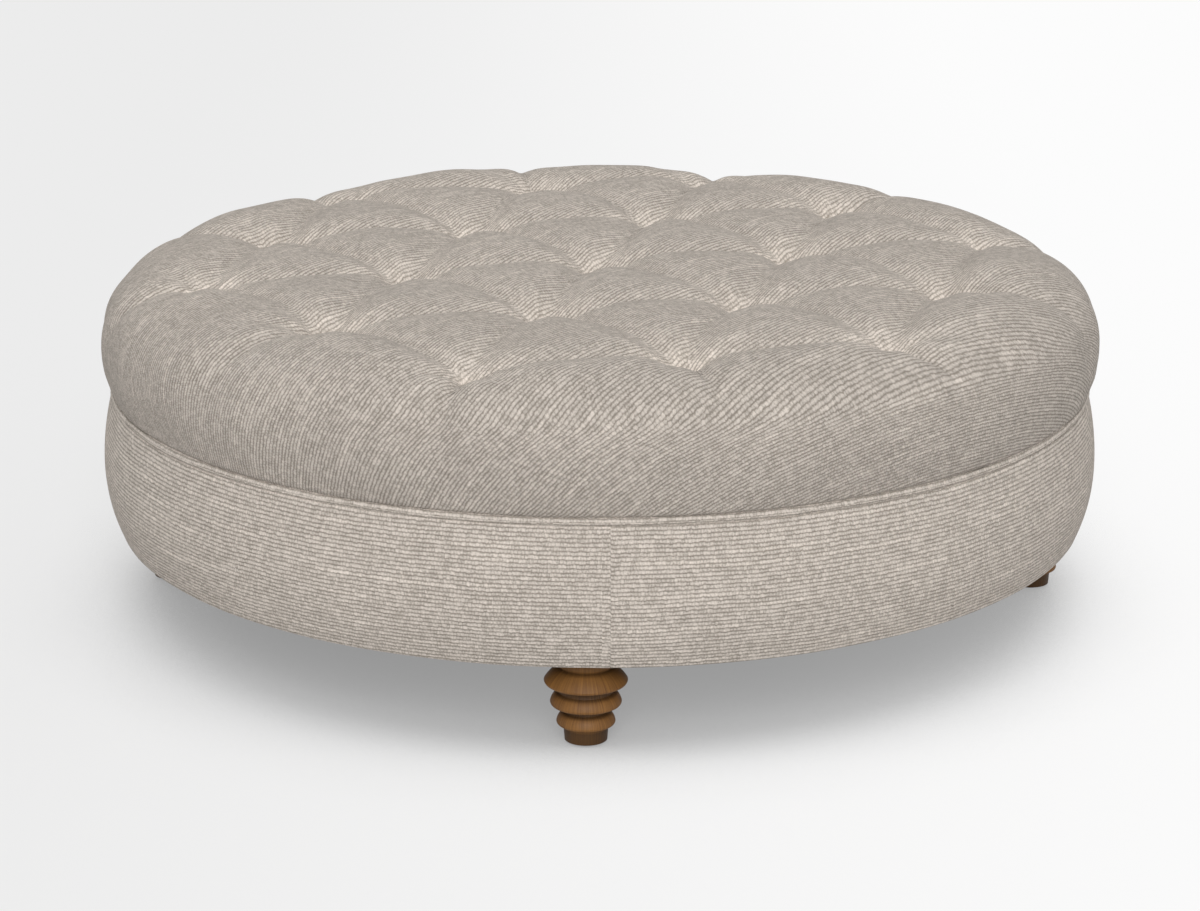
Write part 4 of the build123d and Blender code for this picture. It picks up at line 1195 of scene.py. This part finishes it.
class OTTOMAN_OT_stage(bpy.types.Operator):
    """Set the pale floor, the soft studio light and the camera at the photograph's angle"""
    bl_idname = "ottoman.stage"
    bl_label = "Stage"

    def execute(self, context):
        self.floor()
        self.world(context.scene)
        self.lamps()
        self.camera(context.scene)
        context.scene.view_settings.view_transform = "Standard"
        return {"FINISHED"}

    def floor(self):
        points = FLOOR_HALF * np.array([(-1, -1, 0), (1, -1, 0), (1, 1, 0), (-1, 1, 0)])
        piece = mesh_piece("studio_floor", points, [(0, 1, 2, 3)], smooth=False)
        piece.data.materials.append(self.floor_material())

    def floor_material(self):
        """Pale matt floor. Seen directly or in a reflection it has a part of its tone of its own, so that
        its shadows stay light. That glow is painted light, brighter to the right, with a painted shadow
        under the table where the occlusion closes over the floor."""
        nodes = Nodes("studio_floor")
        place = nodes.object_place()
        sideways = nodes.node("ShaderNodeVectorMath", operation="DOT_PRODUCT")
        nodes.link(place, sideways.inputs[0])
        sideways.inputs[1].default_value = (cos(CAMERA_HEADING), sin(CAMERA_HEADING), 0)
        # Painted falloff of light: the glow is brighter towards the right of the camera
        tone = nodes.spread(sideways.outputs["Value"], -FLOOR_GLOW_REACH, FLOOR_GLOW_REACH,
                            FLOOR_GLOW_LEFT, FLOOR_GLOW_RIGHT)
        far = nodes.spread(nodes.length(place), FLOOR_FADE_START, FLOOR_HALF, 0.0, 1.0)
        tone = nodes.math("ADD", nodes.math("MULTIPLY", tone, nodes.math("SUBTRACT", 1.0, far)),
                          nodes.math("MULTIPLY", far, FLOOR_GLOW_FAR))
        # Painted shadow under the table: the glow is dimmed where the occlusion closes over the floor
        cover = nodes.node("ShaderNodeAmbientOcclusion", samples=CLOSED_SAMPLES)
        cover.inputs["Distance"].default_value = CLOSED_REACH
        painted_shadow_factor = nodes.spread(cover.outputs["AO"], CLOSED_LOW, CLOSED_HIGH, PAINTED_SHADOW_GLOW, 1.0)
        tone = nodes.math("MULTIPLY", tone, painted_shadow_factor)
        path = nodes.node("ShaderNodeLightPath")
        seen = path.outputs[SEEN_RAYS[0]]
        for kind in SEEN_RAYS[1:]:
            seen = nodes.math("MAXIMUM", seen, path.outputs[kind])
        shade = nodes.mix(seen, [value * FLOOR_BOUNCE_SHARE for value in colours().floor],
                          [value * FLOOR_SHADOW_SHARE for value in colours().floor])
        material = nodes.finish(shade, FLOOR_ROUGHNESS, specular=0.0)
        nodes.shader.inputs["Emission Color"].default_value = (1, 1, 1, 1)
        nodes.link(nodes.math("MULTIPLY", seen, tone), nodes.shader.inputs["Emission Strength"])
        below = nodes.node("ShaderNodeNewGeometry").outputs["Backfacing"]
        nodes.link(nodes.math("SUBTRACT", 1.0, below), nodes.shader.inputs["Alpha"])
        return material

    def world(self, scene):
        """Even studio light all round, seen as white by the camera and in glossy reflections."""
        world = bpy.data.worlds.new("studio")
        scene.world = world
        world.use_nodes = True
        tree = world.node_tree
        tree.nodes.clear()
        path = tree.nodes.new("ShaderNodeLightPath")
        seen = path.outputs[SEEN_RAYS[0]]
        for kind in SEEN_RAYS[1:]:
            either = tree.nodes.new("ShaderNodeMath")
            either.operation = "MAXIMUM"
            tree.links.new(seen, either.inputs[0])
            tree.links.new(path.outputs[kind], either.inputs[1])
            seen = either.outputs[0]
        blend = tree.nodes.new("ShaderNodeMixShader")
        tree.links.new(seen, blend.inputs[0])
        for place, tone, strength in ((1, 1.0, WORLD_STRENGTH), (2, BACKDROP, 1.0)):
            light = tree.nodes.new("ShaderNodeBackground")
            light.inputs["Color"].default_value = (tone, tone, tone, 1)
            light.inputs["Strength"].default_value = strength
            tree.links.new(light.outputs[0], blend.inputs[place])
        output = tree.nodes.new("ShaderNodeOutputWorld")
        tree.links.new(blend.outputs[0], output.inputs["Surface"])

    def lamps(self):
        """Broad soft lamps above the camera and beside it. They are suns, so the floor stays even."""
        for name, heading, rise, strength in LAMPS:
            data = bpy.data.lights.new(name, "SUN")
            data.angle = LAMP_WIDTH
            data.energy = strength
            made = bpy.data.objects.new(name, data)
            angle = CAMERA_HEADING + radians(heading)
            made.location = (LAMP_DISTANCE * sin(angle), -LAMP_DISTANCE * cos(angle),
                             LAMP_DISTANCE * tan(radians(rise)))
            made.rotation_mode = "QUATERNION"
            made.rotation_quaternion = (-made.location).to_track_quat("-Z", "Y")
            bpy.context.collection.objects.link(made)

    def camera(self, scene):
        data = bpy.data.cameras.new("camera")
        data.sensor_fit = "HORIZONTAL"
        data.sensor_width = SENSOR
        data.lens = PHOTO_FOCAL_PX * SENSOR / PHOTO_WIDTH_PX
        made = bpy.data.objects.new("camera", data)
        back = Vector((sin(CAMERA_HEADING) * cos(CAMERA_RISE), -cos(CAMERA_HEADING) * cos(CAMERA_RISE),
                          sin(CAMERA_RISE)))
        made.location = Vector((0, 0, CAMERA_AIM_HEIGHT)) + back * CAMERA_DISTANCE
        made.rotation_mode = "QUATERNION"
        made.rotation_quaternion = (-back).to_track_quat("-Z", "Y")
        bpy.context.collection.objects.link(made)
        scene.camera = made


class OTTOMAN_OT_materials(bpy.types.Operator):
    """Make the fabrics that several pieces share"""
    bl_idname = "ottoman.materials"
    bl_label = "Shared fabrics"

    def execute(self, context):
        scene = context.scene
        scene.ottoman_fabric = ribbed_fabric("ribbed_fabric")
        scene.ottoman_twine = grained(*TWINE_LOOK)
        scene.ottoman_cambric = bonded_cloth("black_cambric")
        return {"FINISHED"}


class OTTOMAN_PT_panel(bpy.types.Panel):
    """Lists the steps that dress the ottoman, and its sizes and colours"""
    bl_label = "Tufted Ottoman"
    bl_idname = "OTTOMAN_PT_panel"
    bl_space_type = "VIEW_3D"
    bl_region_type = "UI"
    bl_category = "Ottoman"

    def draw(self, context):
        layout = self.layout
        for step in STEPS:
            layout.operator(step.bl_idname)
        for group in (context.scene.ottoman_sizes, context.scene.ottoman_colours):
            box = layout.box()
            for name in group.bl_rna.properties.keys():
                if name not in ("rna_type", "name"):
                    box.prop(group, name)


STEPS = (OTTOMAN_OT_materials, OTTOMAN_OT_cushion, OTTOMAN_OT_band, OTTOMAN_OT_piping, OTTOMAN_OT_stitches,
         OTTOMAN_OT_dust_cover, OTTOMAN_OT_finishes, OTTOMAN_OT_stage)
CLASSES = (OttomanSizes, OttomanColours, *STEPS, OTTOMAN_PT_panel)


def register():
    for made in CLASSES:
        bpy.utils.register_class(made)
    bpy.types.Scene.ottoman_sizes = bpy.props.PointerProperty(type=OttomanSizes)
    bpy.types.Scene.ottoman_colours = bpy.props.PointerProperty(type=OttomanColours)
    bpy.types.Scene.ottoman_fabric = bpy.props.PointerProperty(type=bpy.types.Material)
    bpy.types.Scene.ottoman_twine = bpy.props.PointerProperty(type=bpy.types.Material)
    bpy.types.Scene.ottoman_cambric = bpy.props.PointerProperty(type=bpy.types.Material)


def unregister():
    for name in ("ottoman_sizes", "ottoman_colours", "ottoman_fabric", "ottoman_twine", "ottoman_cambric"):
        delattr(bpy.types.Scene, name)
    for made in reversed(CLASSES):
        bpy.utils.unregister_class(made)


def main():
    """Registers the add-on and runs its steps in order."""
    register()
    for step in STEPS:
        group, name = step.bl_idname.split(".")
        getattr(getattr(bpy.ops, group), name)()


if __name__ == "__main__":
    main()
